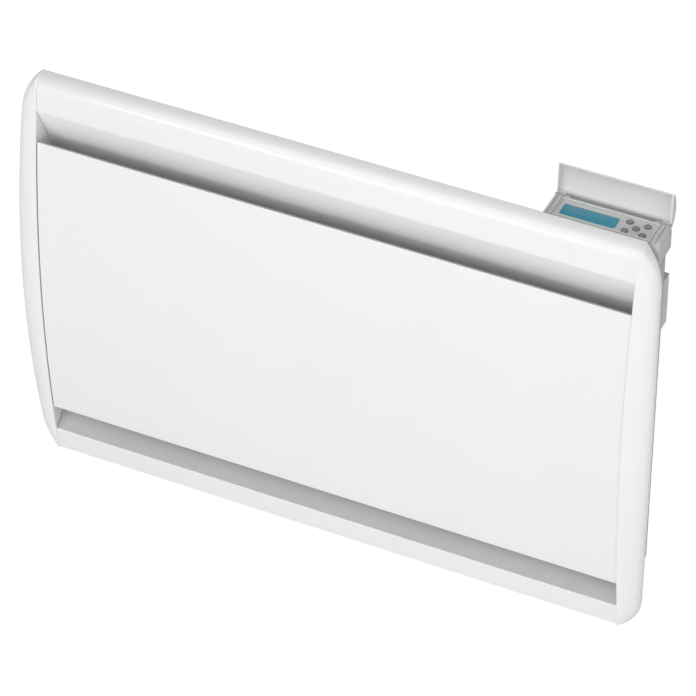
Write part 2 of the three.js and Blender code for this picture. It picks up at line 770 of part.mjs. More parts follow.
function leadFromCutout() {
  const startX = cutoutX + cutoutTabSpread;
  const passX = shieldEndX + leadClear;
  const frontY = cutoutTabEndY - leadClear;
  const passY = casingInnerY - leadStandOff;
  const holeX = wireHole[0] - leadSpread;
  return tube(
    [
      [startX, cutoutTabEndY - seat, cutoutZ],
      [startX, frontY, cutoutZ],
      [THREE.MathUtils.lerp(startX, shieldEndX, 0.4), frontY, cutoutZ + leadClear],
      [passX, cutoutSeatY - 1.5 * leadClear, cutoutZ + 2.5 * leadClear],
      [passX, passY, cutoutZ + 6 * leadClear],
      [passX, passY, wireHole[1] - leadClear],
      [wireHole[0] + 2 * leadClear, passY + leadRadius, wireHole[1] + 2 * leadRadius],
      [holeX, casingInnerY - casingSheet, wireHole[1]],
      [holeX, casingBackY + leadInside, wireHole[1]],
    ],
    leadRadius,
    40,
  );
}

// ---------------------------------------------------------------- power box
const boxFrontY = casingBackY + seat;
const boxRearY = casingBackY + boxSize[1];
const boxLowZ = boxTopZ - boxSize[2];
const glandX = boxLeftX + glandInset;
const glandY = (boxFrontY + boxRearY) / 2 - glandForward;

function powerBox() {
  const outer = box([boxLeftX, boxFrontY, boxLowZ], [casingX, boxRearY, boxTopZ]);
  const hollow = box(
    [boxLeftX + boxWall, boxFrontY - 1, boxLowZ + boxWall],
    [casingX - boxWall, boxRearY - boxWall, boxTopZ - boxWall],
  );
  const neck = glandRadius - glandShoulder + seat;
  const gland = rod('z', boxLowZ - 1, boxLowZ + boxWall + 1, neck, [glandX, glandY], 20);
  return cut(outer, hollow, gland);
}

function cableGland() {
  const neck = glandRadius - glandShoulder;
  const profile = [
    [cableRadius, glandInside],
    [cableRadius, -glandLength],
    [glandRadius - glandTaper, -glandLength],
    [glandRadius, -seat],
    [neck, -seat],
    [neck, glandInside],
    [cableRadius, glandInside],
  ].map(([radius, height]) => new THREE.Vector2(radius, height));
  const geometry = new THREE.LatheGeometry(profile, 20);
  geometry.rotateX(Math.PI / 2);
  geometry.translate(glandX, glandY, boxLowZ);
  return geometry;
}

const boardRearY = boxRearY - boxWall - seat;
const boardFrontY = boardRearY - pcbThickness;

function powerBoard() {
  const inset = boxWall + seat;
  return box(
    [boxLeftX + inset, boardFrontY, boxLowZ + inset + boardClearLow],
    [casingX - inset, boardRearY, boxTopZ - inset],
  );
}

function relay() {
  const [width, depth, height] = relaySize;
  const right = casingX - relayInset[0];
  const top = boxTopZ - relayInset[1];
  const rearY = boardFrontY - seat;
  return box([right - width, rearY - depth, top - height], [right, rearY, top]);
}

function terminalBlock() {
  const [width, depth, height] = terminalSize;
  const [radius, wellDepth] = terminalWell;
  const left = boxLeftX + terminalInset[0];
  const low = boxLowZ + terminalInset[1];
  const rearY = boardFrontY - seat;
  const body = box([left, rearY - depth, low], [left + width, rearY, low + height]);
  const wells = [-1, 0, 1].map((i) => {
    const centre = [left + width / 2 + i * terminalPitch, low + height / 2];
    return rod('y', rearY - depth - 1, rearY - depth + wellDepth, radius, centre, 12);
  });
  return cut(body, ...wells);
}

function boxScrew(dx) {
  const [radius, height] = boxScrewHead;
  const centre = [boxLeftX + boxSize[0] / 2 + dx, boxTopZ - boxScrewDrop];
  return rod('y', boxRearY + seat, boxRearY + seat + height, radius, centre, 16);
}

function roomSensor() {
  const low = boxTopZ + sensorRise;
  const centre = [casingX - sensorInset, casingBackY + sensorRadius + seat];
  return rod('z', low, low + sensorHeight, sensorRadius, centre, 16);
}

// ---------------------------------------------------------------- controller
const plateRightX = casingX - plateInsetRight;
const plateLeftX = plateRightX - plateSize[0];
const plateFrontY = controllerFrontY + plateInsetFront;
const plateRearY = plateFrontY + plateSize[1];
const plateTopZ = controllerTopZ - plateRecess;
const bezelRearY = plateRearY + seat + bezelRearFrame;
const chamberRearY = plateRearY + seat;
const lcdLeftX = plateLeftX + lcdInsetLeft;
const lcdFrontY = plateFrontY + lcdInsetFront;
const lidLeftX = controllerLeftX - lidOverhangLeft;
const lidRightX = casingX - lidInsetRight;
const hingeXs = [lidLeftX + lidEnd + hingeEyeInset, lidRightX - lidEnd - hingeEyeInset];

function controllerHousing() {
  const lowZ = casingTopZ + seat;
  const bodyTop = controllerTopZ - bezelThickness - seat;
  const outer = box([controllerLeftX, controllerFrontY, lowZ], [casingX, controllerRearY, bodyTop]);
  const hollow = box(
    [controllerLeftX + controllerWall, controllerFrontY + controllerWall, lowZ + controllerWall],
    [casingX - controllerWall, chamberRearY, bodyTop + 1],
  );
  const strip = box(
    [controllerLeftX, bezelRearY + seat, bodyTop - 1],
    [casingX, controllerRearY, controllerTopZ - backStripDrop],
  );
  const link = linkPassage(lowZ - 1, lowZ + 2 * controllerWall);
  const axis = [hingeY, hingeZ];
  const half = hingeEyeWidth / 2;
  const [leftX, rightX] = hingeXs;
  const relief = hingeEyeRadius + hingeRelief;
  const troughs = [
    rod('x', controllerLeftX - 1, leftX - half, relief, axis, 28),
    rod('x', rightX + half, casingX + 1, relief, axis, 28),
  ];
  const eyes = hingeXs.map((x) => rod('x', x - half, x + half, hingeEyeRadius, axis, 20));
  const bores = hingeXs.map((x) => rod('x', x - half - 1, x + half + 1, hingePinRadius + hingeFit, axis, 16));
  return cut(join(outer, strip, ...eyes), hollow, link, ...troughs, ...bores);
}

function bezel() {
  const outer = box(
    [controllerLeftX, controllerFrontY, controllerTopZ - bezelThickness],
    [casingX, bezelRearY, controllerTopZ],
  );
  const window = box(
    [plateLeftX - seat, plateFrontY - seat, controllerTopZ - bezelThickness - 1],
    [plateRightX + seat, plateRearY + seat, controllerTopZ + 1],
  );
  return cut(outer, window);
}

function lcdOutline(grow, z0, z1) {
  const [width, depth] = lcdSize;
  const c = lcdCorner;
  const g = grow;
  const outline = [
    [-g + c, -g],
    [width + g - c, -g],
    [width + g, -g + c],
    [width + g, depth + g - c],
    [width + g - c, depth + g],
    [-g + c, depth + g],
    [-g, depth + g - c],
    [-g, -g + c],
  ].map(([x, y]) => [lcdLeftX + x, lcdFrontY + y]);
  return alongZ(outline, z0, z1);
}

const buttonCentre = [plateRightX - buttonCentreInset, plateFrontY + buttonCentreDepth];
const buttonPlaces = {
  button_centre: [0, 0],
  button_rear_left: [-1, 1],
  button_rear_right: [1, 1],
  button_front_left: [-1, -1],
  button_front_right: [1, -1],
};
const buttonAt = ([i, j]) => [buttonCentre[0] + i * buttonSpreadX, buttonCentre[1] + j * buttonSpreadY];

function displayPlate() {
  const lowZ = plateTopZ - plateSize[2];
  const plate = box([plateLeftX, plateFrontY, lowZ], [plateRightX, plateRearY, plateTopZ]);
  const window = lcdOutline(seat, lowZ - 1, plateTopZ + 1);
  const holes = Object.values(buttonPlaces).map((place) =>
    rod('z', lowZ - 1, plateTopZ + 1, buttonRadius + buttonFit, buttonAt(place), 28),
  );
  return cut(plate, window, ...holes);
}

const lcdTopZ = plateTopZ - lcdRecess;
const lcdLowZ = lcdTopZ - lcdThickness;
const lcdModuleTopZ = Math.min(lcdLowZ, plateTopZ - plateSize[2]) - seat;
const lcdModuleLowZ = lcdModuleTopZ - lcdModuleThickness;
const lcdModuleRightX = lcdLeftX + lcdSize[0] + lcdModuleMargin;

function lcdModule() {
  const margin = lcdModuleMargin;
  return box(
    [lcdLeftX - margin, lcdFrontY - margin, lcdModuleLowZ],
    [lcdModuleRightX, lcdFrontY + lcdSize[1] + margin, lcdModuleTopZ],
  );
}

const buttonTopZ = plateTopZ + buttonProud;
const buttonFlangeZ = plateTopZ - plateSize[2] - seat;
const buttonLowZ = buttonFlangeZ - buttonFlange;
const domeTopZ = buttonLowZ - buttonTravel - seat;
const padTopZ = domeTopZ - domeHeight;
const boardTopZ = padTopZ - padThickness - seat;

// One key: its cap, and the flange that keeps it under the plate.
function button(place) {
  const centre = buttonAt(place);
  return join(
    rod('z', buttonLowZ, buttonTopZ, buttonRadius, centre, 28),
    rod('z', buttonLowZ, buttonFlangeZ, buttonFlangeRadius, centre, 28),
  );
}

function switchMat() {
  const left = lcdModuleRightX + 2 * seat;
  const mat = box(
    [left, plateFrontY + seat, padTopZ - padThickness],
    [plateRightX, plateRearY - seat, padTopZ],
  );
  const domes = Object.values(buttonPlaces).map((place) =>
    rod('z', padTopZ - padThickness / 2, domeTopZ, domeRadius, buttonAt(place), 12),
  );
  return join(mat, ...domes);
}

function controlBoard() {
  const top = Math.min(boardTopZ, lcdModuleLowZ - seat);
  return box(
    [controllerLeftX + controllerWall + seat, controllerFrontY + controllerWall + seat, top - pcbThickness],
    [casingX - controllerWall - seat, chamberRearY - seat, top],
  );
}

// ---------------------------------------------------------------- lid
// Drawn closed, with the hinge axis at the origin and the lid reaching forward to -Y.
function lidShell() {
  const rim = hingeEyeRadius + lidRimClear;
  const outerCurve = new THREE.CubicBezierCurve(
    new THREE.Vector2(-lidLength, rim),
    new THREE.Vector2(-lidLength + 3, rim + lidBulge * 0.75),
    new THREE.Vector2(-lidLength * 0.55, rim + lidBulge * 1.02),
    new THREE.Vector2(-lidLength * 0.38, rim + lidBulge),
  );
  const rearCurve = new THREE.CubicBezierCurve(
    new THREE.Vector2(-lidLength * 0.38, rim + lidBulge),
    new THREE.Vector2(-lidLength * 0.1, rim + lidBulge * 0.95),
    new THREE.Vector2(lidTail * 0.8, rim + lidBulge * 0.6),
    new THREE.Vector2(lidTail, rim),
  );
  const outer = [...outerCurve.getPoints(8), ...rearCurve.getPoints(8).slice(1)].map((p) => [p.x, p.y]);
  const full = alongX([...outer].reverse(), lidLeftX, lidRightX);
  const centre = [-lidLength / 2, rim];
  const shrink = 1 - (2 * lidWall) / lidLength;
  const innerPoints = outer.map(([y, z]) => [
    centre[0] + (y - centre[0]) * shrink,
    centre[1] + Math.max(z - rim - lidWall, 0) - (z - rim <= lidWall ? 2 : 0),
  ]);
  const dish = alongX([...innerPoints].reverse(), lidLeftX + lidEnd, lidRightX - lidEnd);
  return { full, dish };
}

function lid() {
  const { full, dish } = lidShell();
  const [leftX, rightX] = hingeXs;
  const gap = hingeEyeWidth / 2 + seat;
  const barrelSpans = [
    [lidLeftX, leftX - gap],
    [rightX + gap, lidRightX],
  ];
  const barrels = barrelSpans.flatMap(([x0, x1]) => [
    rod('x', x0, x1, hingeEyeRadius, [0, 0], 20),
    box([x0, -hingeEyeRadius * 0.7, 0], [x1, hingeEyeRadius * 0.7, hingeNeckHeight]),
  ]);
  const reach = hingeEyeWidth / 2 + hingePinReach + seat;
  const bores = hingeXs.map((x) => rod('x', x - reach, x + reach, hingePinRadius + hingeFit, [0, 0], 16));
  return cut(join(cut(full, dish), ...barrels), ...bores);
}

// A pin through one eye and into the lid's barrel beside it.
function hingePin(x, outward) {
  const half = hingeEyeWidth / 2;
  const ends = [x - outward * half, x + outward * (half + hingePinReach)];
  return rod('x', Math.min(...ends), Math.max(...ends), hingePinRadius, [0, 0], 12);
}

// ---------------------------------------------------------------- wall bracket
function bracketRail(z) {
  const half = bracketRailHeight / 2;
  const web = box([-bracketRailHalfLength, -bracketSheet, z - half], [bracketRailHalfLength, 0, z + half]);
  const lips = [z - half, z + half - bracketSheet].map((low) =>
    box([-bracketRailHalfLength, -bracketRailLip, low], [bracketRailHalfLength, 0, low + bracketSheet]),
  );
  const [slotX, slotZ] = screwSlot.map((size) => size / 2);
  const slots = [-screwSlotX, screwSlotX].map((x) =>
    box([x - slotX, -bracketSheet - 1, z - slotZ], [x + slotX, 1, z + slotZ]),
  );
  return cut(join(web, ...lips), ...slots);
}

function upright(x) {
  const lowZ = -bracketLowerDrop - uprightOverrun;
  const highZ = uprightOverrun;
  const flangeY = -bracketRailLip - seat;
  const flange = box(
    [x - uprightFlange / 2, flangeY - bracketSheet, lowZ],
    [x + uprightFlange / 2, flangeY, highZ],
  );
  const bladeFront = casingBackY + seat;
  const blade = box([x - bracketSheet / 2, bladeFront, lowZ], [x + bracketSheet / 2, flangeY, highZ]);
  const tipY = casingInnerY - hookClear;
  const finger = box(
    [x - bracketSheet / 2, tipY - bracketSheet, hookSeatZ - hookFinger],
    [x + bracketSheet / 2, bladeFront + 2, hookSeatZ],
  );
  const tip = box(
    [x - bracketSheet / 2, tipY - bracketSheet, hookSeatZ - hookFinger],
    [x + bracketSheet / 2, tipY, hookSeatZ + hookTip],
  );
  return join(flange, blade, finger, tip);
}

// ---------------------------------------------------------------- assembly
function addBracket() {
  add('bracket_upper_rail', bracketRail(0), galvanised);
  add('bracket_lower_rail', bracketRail(-bracketLowerDrop), galvanised);
  add('bracket_left_upright', upright(-uprightX), galvanised);
  add('bracket_right_upright', upright(uprightX), galvanised);
}

function addCasings() {
  add('front_panel', frontPanel(), whiteEnamel);
  add('top_rail', topRail(), whiteEnamel);
  add('bottom_rail', bottomRail(), whiteEnamel);
  add('left_end_cap', endCap(-1), whitePlastic);
  add('right_end_cap', endCap(1), whitePlastic);
  add('rear_casing', casing(), whiteEnamel);
  add('outlet_deflector', deflector(), whiteEnamel);
  for (const [side, word] of [[-1, 'left'], [1, 'right']]) {
    add(`casing_screw_${word}_upper`, capScrew(side, capScrewZ[0]), bareSteel);
    add(`casing_screw_${word}_lower`, capScrew(side, capScrewZ[1]), bareSteel);
  }
}

function addHeating() {
  add('heat_shield', heatShield(), bareSteel);
  add('heating_element', heatingElement(), aluminium);
  for (const [side, word] of [[-1, 'left'], [1, 'right']]) {
    add(`element_support_${word}`, elementSupport(side), galvanised);
    add(`element_bush_${word}`, ceramicBush(side), ceramic);
  }
  add('thermal_cutout', thermalCutout(), blackPlastic);
  add('element_lead', leadFromElement(), wireRed);
  add('cutout_lead', leadFromCutout(), wireBlue);
  add('earth_stud', earthStud(), brass);
}

function addPowerBox() {
  add('power_box', powerBox(), greyPlastic);
  add('power_board', powerBoard(), boardGreen);
  add('power_relay', relay(), blackPlastic);
  add('terminal_block', terminalBlock(), whitePlastic);
  add('cable_gland', cableGland(), greyPlastic);
  add('box_screw_left', boxScrew(-boxScrewSpread), bareSteel);
  add('box_screw_right', boxScrew(boxScrewSpread), bareSteel);
  add('room_sensor', roomSensor(), darkGreyPlastic);
}

function addController() {
  add('controller_housing', controllerHousing(), greyPlastic);
  add('controller_bezel', bezel(), greyPlastic);
  add('display_plate', displayPlate(), greyPlastic);
  add('display_window', lcdOutline(0, lcdLowZ, lcdTopZ), displayBlue);
  add('display_module', lcdModule(), darkGreyPlastic);
  add('switch_mat', switchMat(), siliconeGrey);
  add('control_board', controlBoard(), boardGreen);
  for (const [name, place] of Object.entries(buttonPlaces)) add(name, button(place), darkGreyPlastic);
}

function addLid() {
  const hinge = new THREE.Group();
  hinge.position.set(0, hingeY, hingeZ);
  hinge.rotation.x = THREE.MathUtils.degToRad(-lidOpenAngle);
  heater.add(hinge);
  add('controller_lid', lid(), whitePlastic, hinge);
  add('hinge_pin_left', hingePin(hingeXs[0], -1), bareSteel, hinge);
  add('hinge_pin_right', hingePin(hingeXs[1], 1), bareSteel, hinge);
}

addBracket();
addCasings();
addHeating();
addPowerBox();
addController();
addLid();

export default heater;
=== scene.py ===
"""Dressed scene of a wall panel convector heater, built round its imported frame.

Metres. +X runs to the controller's end, +Y into the wall and +Z up. The origin is on the wall, at
the middle of the bracket's upper rail. Every new piece is modelled with operators in place, rides
on a body of the frame, and takes a procedural finish.
"""

from __future__ import annotations

import json
import logging
import math
import sys
from contextlib import contextmanager
from dataclasses import dataclass, field
from enum import Enum
from typing import Callable, Iterator, Sequence

import bmesh
import bpy
from mathutils import Matrix, Vector

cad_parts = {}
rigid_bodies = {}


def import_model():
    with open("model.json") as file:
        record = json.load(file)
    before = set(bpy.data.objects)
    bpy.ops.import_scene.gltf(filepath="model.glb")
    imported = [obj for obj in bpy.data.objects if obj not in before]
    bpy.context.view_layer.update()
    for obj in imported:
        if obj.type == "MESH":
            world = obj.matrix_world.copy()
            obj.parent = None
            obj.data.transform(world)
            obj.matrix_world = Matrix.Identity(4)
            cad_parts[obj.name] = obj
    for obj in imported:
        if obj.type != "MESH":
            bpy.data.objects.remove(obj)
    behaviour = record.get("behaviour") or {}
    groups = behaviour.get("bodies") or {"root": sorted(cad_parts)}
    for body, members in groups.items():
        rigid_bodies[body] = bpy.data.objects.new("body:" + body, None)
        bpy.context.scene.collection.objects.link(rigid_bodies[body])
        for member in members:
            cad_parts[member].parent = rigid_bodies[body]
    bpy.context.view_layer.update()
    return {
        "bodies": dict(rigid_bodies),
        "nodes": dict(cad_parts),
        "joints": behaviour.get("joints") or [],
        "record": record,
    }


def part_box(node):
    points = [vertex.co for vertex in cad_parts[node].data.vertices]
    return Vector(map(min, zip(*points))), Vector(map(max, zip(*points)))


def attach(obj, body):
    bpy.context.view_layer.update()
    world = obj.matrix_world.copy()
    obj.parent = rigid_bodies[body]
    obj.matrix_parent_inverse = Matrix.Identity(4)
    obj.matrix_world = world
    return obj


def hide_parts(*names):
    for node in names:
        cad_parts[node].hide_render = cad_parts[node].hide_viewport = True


LOG = logging.getLogger("convector")
MM = 0.001
BEYOND = MM  # how far a cutting tool reaches past what it cuts
MERGED = 1e-6  # points nearer than this are one
NEAR = 0.01 * MM  # how near a point is to its fold
SHARP = 32.0  # degrees between two faces past which their edge is sharp
MOULDED = 40.0  # the same on a rounder moulding
FACING = 0.8  # part of a face's normal along an axis past which it looks that way

Point = tuple[float, float]  # y and z from the side, or x and y from above
Bend = tuple[float, float, float]  # y, z and the radius of the bend there
Span = tuple[float, float]  # lowest and highest
Colour = tuple[float, float, float]


# ------------------------------------------------------------------------------------ bench
def take(*pieces: bpy.types.Object) -> None:
    """Selects only some pieces.

    Args:
        pieces: The pieces, the active one last.
    """
    if bpy.context.object and bpy.context.object.mode != "OBJECT":
        bpy.ops.object.mode_set(mode="OBJECT")
    bpy.ops.object.select_all(action="DESELECT")
    for piece in pieces:
        piece.select_set(True)
        bpy.context.view_layer.objects.active = piece


@contextmanager
def editing(piece: bpy.types.Object, kind: str = "FACE") -> Iterator[bmesh.types.BMesh]:
    """Opens a piece in edit mode with nothing selected.

    Args:
        piece: The mesh object to shape.
        kind: The selection mode, VERT, EDGE or FACE.

    Returns:
        The piece's edit mesh, for selecting by place.
    """
    take(piece)
    bpy.ops.object.mode_set(mode="EDIT")
    bpy.ops.mesh.select_mode(type=kind)
    bpy.ops.mesh.select_all(action="DESELECT")
    yield bmesh.from_edit_mesh(piece.data)
    bpy.ops.object.mode_set(mode="OBJECT")


def pick(piece: bpy.types.Object, elements: str, test: Callable[[object], bool]) -> None:
    """Selects the faces, edges or vertices that pass a test, in edit mode.

    Args:
        piece: The piece in edit mode.
        elements: "faces", "edges" or "verts".
        test: Says whether an element is wanted.
    """
    bpy.ops.mesh.select_all(action="DESELECT")
    form = bmesh.from_edit_mesh(piece.data)
    for item in [item for item in getattr(form, elements) if test(item)]:
        item.select_set(True)
    bmesh.update_edit_mesh(piece.data)


def extrude(way: Sequence[float]) -> None:
    """Extrudes what is selected in edit mode."""
    bpy.ops.mesh.extrude_region_move(TRANSFORM_OT_translate={"value": tuple(way)})


def modify(piece: bpy.types.Object, kind: str, **settings: object) -> None:
    """Adds one modifier and applies it.

    Args:
        piece: The piece.
        kind: The modifier's type.
        settings: The modifier's settings, by name.
    """
    take(piece)
    modifier = piece.modifiers.new(kind.title(), kind)
    for name, value in settings.items():
        setattr(modifier, name, value)
    bpy.ops.object.modifier_apply(modifier=modifier.name)


def soften(piece: bpy.types.Object, width: float, segments: int = 2, angle: float = SHARP) -> None:
    """Rounds a piece's sharp edges.

    Args:
        piece: The piece.
        width: How wide the rounding is.
        segments: Segments in it.
        angle: Degrees between two faces past which their edge is sharp.
    """
    modify(
        piece,
        "BEVEL",
        width=width,
        segments=segments,
        limit_method="ANGLE",
        angle_limit=math.radians(angle),
        use_clamp_overlap=True,
        miter_outer="MITER_ARC",
    )


def smooth(piece: bpy.types.Object, angle: float = SHARP) -> None:
    """Shades a piece smooth, with its sharp edges kept."""
    take(piece)
    bpy.ops.object.shade_smooth_by_angle(angle=math.radians(angle))


def face_outwards(piece: bpy.types.Object) -> None:
    """Merges a piece's doubles and turns all its faces outwards.

    Args:
        piece: The piece, closed or about to be given its wall.
    """
    with editing(piece):
        bpy.ops.mesh.select_all(action="SELECT")
        bpy.ops.mesh.remove_doubles(threshold=MERGED)
        bpy.ops.mesh.normals_make_consistent(inside=False)


def apply_place(piece: bpy.types.Object) -> None:
    """Puts a piece's place into its mesh, so that its object sits at the origin."""
    take(piece)
    bpy.ops.object.transform_apply(location=True, rotation=True, scale=True)


def named(name: str) -> bpy.types.Object:
    """Names the piece that an operator has just made.

    Args:
        name: Its name.

    Returns:
        The piece.
    """
    piece = bpy.context.object
    piece.name = piece.data.name = name
    return piece


def join(name: str, *pieces: bpy.types.Object) -> bpy.types.Object:
    """Joins several meshes into one object.

    Args:
        name: The joined piece's name.
        pieces: The meshes, of which the last one's finishes come first.

    Returns:
        The joined piece.
    """
    for piece in pieces:
        apply_place(piece)
    take(*pieces)
    bpy.ops.object.join()
    return named(name)


def twin_of(piece: bpy.types.Object, name: str) -> bpy.types.Object:
    """Copies a piece with its own mesh, mirrored to the heater's other end.

    Args:
        piece: The piece.
        name: The copy's name.

    Returns:
        The copy, facing outwards.
    """
    take(piece)
    bpy.ops.object.duplicate(linked=False)
    twin = named(name)
    bpy.ops.transform.mirror(constraint_axis=(True, False, False), center_override=(0, 0, 0))
    apply_place(twin)
    face_outwards(twin)
    return twin


def block(name: str, low: Sequence[float], high: Sequence[float]) -> bpy.types.Object:
    """Adds a cube between two corners, as the start of a piece.

    Args:
        name: The piece's name.
        low: The corner with the lowest x, y and z.
        high: The opposite corner.

    Returns:
        The cube, with its place in its mesh.
    """
    take()
    middle = [(a + b) / 2 for a, b in zip(low, high)]
    bpy.ops.mesh.primitive_cube_add(size=1.0, location=middle)
    piece = named(name)
    bpy.ops.transform.resize(value=[b - a for a, b in zip(low, high)])
    apply_place(piece)
    return piece


def drum(
    name: str, axis: str, centre: Sequence[float], radius: float, length: float, sides: int = 32
) -> bpy.types.Object:
    """Adds a cylinder along an axis, as the start of a piece.

    Args:
        name: The piece's name.
        axis: "x" or "z".
        centre: The cylinder's middle.
        radius: Its radius.
        length: Its length along the axis.
        sides: How many sides it has.

    Returns:
        The cylinder, with its place in its mesh.
    """
    turn = {"x": (0.0, math.pi / 2, 0.0), "z": (0.0, 0.0, 0.0)}[axis]
    take()
    bpy.ops.mesh.primitive_cylinder_add(
        vertices=sides, radius=radius, depth=length, location=tuple(centre), rotation=turn
    )
    piece = named(name)
    apply_place(piece)
    return piece


def rounded(path: Sequence[Bend], steps: int = 5) -> list[Point]:
    """Rounds the corners of a side profile.

    Args:
        path: The profile's corners, with a radius of 0 where there is no bend.
        steps: Segments in each bend.

    Returns:
        The profile with its bends as short arcs.
    """
    result: list[Point] = []
    for i, (y, z, radius) in enumerate(path):
        if radius <= 0 or i in (0, len(path) - 1):
            result.append((y, z))
            continue
        here = Vector((y, z))
        back = (Vector(path[i - 1][:2]) - here).normalized()
        ahead = (Vector(path[i + 1][:2]) - here).normalized()
        half = back.angle(ahead) / 2
        reach = radius / math.tan(half)
        middle = here + (back + ahead).normalized() * (radius / math.sin(half))
        start, end = here + back * reach - middle, here + ahead * reach - middle
        sweep = start.angle_signed(end)
        for k in range(steps + 1):
            turned = start.copy()
            turned.rotate(Matrix.Rotation(-sweep * k / steps, 2))
            result.append(tuple(middle + turned))
    return result


def fold_sheet(name: str, path: Sequence[Point], span: Span, wall: float) -> bpy.types.Object:
    """Bends a strip of sheet along a side profile that runs up the front and back over the top.

    Args:
        name: The piece's name.
        path: The outer face's profile.
        span: The strip's ends in x.
        wall: The sheet's thickness, laid on the inner side.

    Returns:
        The bent sheet, closed and facing outwards.
    """
    take()
    bpy.ops.mesh.primitive_plane_add(size=1.0)
    strip = named(name)
    with editing(strip, "EDGE") as form:
        for vert in form.verts:
            y, z = path[0] if vert.co.y < 0 else path[1]
            vert.co = (span[0] if vert.co.x < 0 else span[1], y, z)
        for (y0, z0), (y1, z1) in zip(path[1:-1], path[2:]):
            fold = Vector((y0, z0))
            pick(strip, "edges", lambda e: all((v.co.yz - fold).length < NEAR for v in e.verts))
            extrude((0, y1 - y0, z1 - z0))
    modify(strip, "SOLIDIFY", thickness=wall, offset=-1.0, use_even_offset=True)
    face_outwards(strip)
    return strip


def prism(name: str, axis: str, outline: Sequence[Point], low: float, high: float) -> bpy.types.Object:
    """Extrudes an outline along x or z.

    Args:
        name: The piece's name.
        axis: "x" for an outline in y and z, "z" for one in x and y.
        outline: The outline's points.
        low: Where it starts along the axis.
        high: Where it ends.

    Returns:
        The closed piece, facing outwards.
    """
    take()
    bpy.ops.mesh.primitive_circle_add(vertices=len(outline), fill_type="NGON")
    piece = named(name)
    for vert, (a, b) in zip(piece.data.vertices, outline):
        vert.co = (low, a, b) if axis == "x" else (a, b, low)
    reach = high - low
    with editing(piece):
        bpy.ops.mesh.select_all(action="SELECT")
        extrude((reach, 0, 0) if axis == "x" else (0, 0, reach))
    face_outwards(piece)
    return piece


def combine(piece: bpy.types.Object, tool: bpy.types.Object, operation: str) -> None:
    """Combines a piece with a tool and deletes the tool."""
    modify(piece, "BOOLEAN", operation=operation, object=tool, solver="EXACT")
    bpy.data.objects.remove(tool, do_unlink=True)


def cut_with(piece: bpy.types.Object, tool: bpy.types.Object) -> None:
    """Cuts a tool's shape out of a piece."""
    combine(piece, tool, "DIFFERENCE")


def unite(piece: bpy.types.Object, tool: bpy.types.Object) -> None:
    """Unites a piece with another one."""
    combine(piece, tool, "UNION")


def curve(handles: Sequence[Point], count: int) -> list[Point]:
    """Finds points along a cubic curve.

    Args:
        handles: Its start, two handles and end.
        count: How many steps it has.

    Returns:
        The points, both ends included.
    """
    points = []
    for i in range(count + 1):
        t = i / count
        weights = ((1 - t) ** 3, 3 * t * (1 - t) ** 2, 3 * t * t * (1 - t), t**3)
        points.append(tuple(sum(w * p[k] for w, p in zip(weights, handles)) for k in (0, 1)))
    return points


# --------------------------------------------------------------------------------- finishes
class Grain(Enum):
    """How a finish's surface is broken up."""

    PEEL = "stoved enamel's fine orange peel"
    SPARK = "spark-eroded moulding"
    SATIN = "smooth satin moulding"
    SPANGLE = "zinc spangle"
    DRAWN = "drawn or turned metal"
    MASK = "solder mask over copper tracks"
    GLASS = "clear window"


@dataclass(frozen=True)
class Finish:
    """One procedural surface: two close tones, a roughness range and a grain."""

    slot: str
    light: Colour
    dark: Colour
    rough: Span
    grain: Grain
    scale: float
    bump: float
    metallic: float = 0.0
    specular: float = 0.5
    coat: float = 0.0

    def material(self) -> bpy.types.Material:
        """Builds the finish's material, or finds it where it is already made."""
        found = bpy.data.materials.get("finish_" + self.slot)
        return found or Recipe(self).material


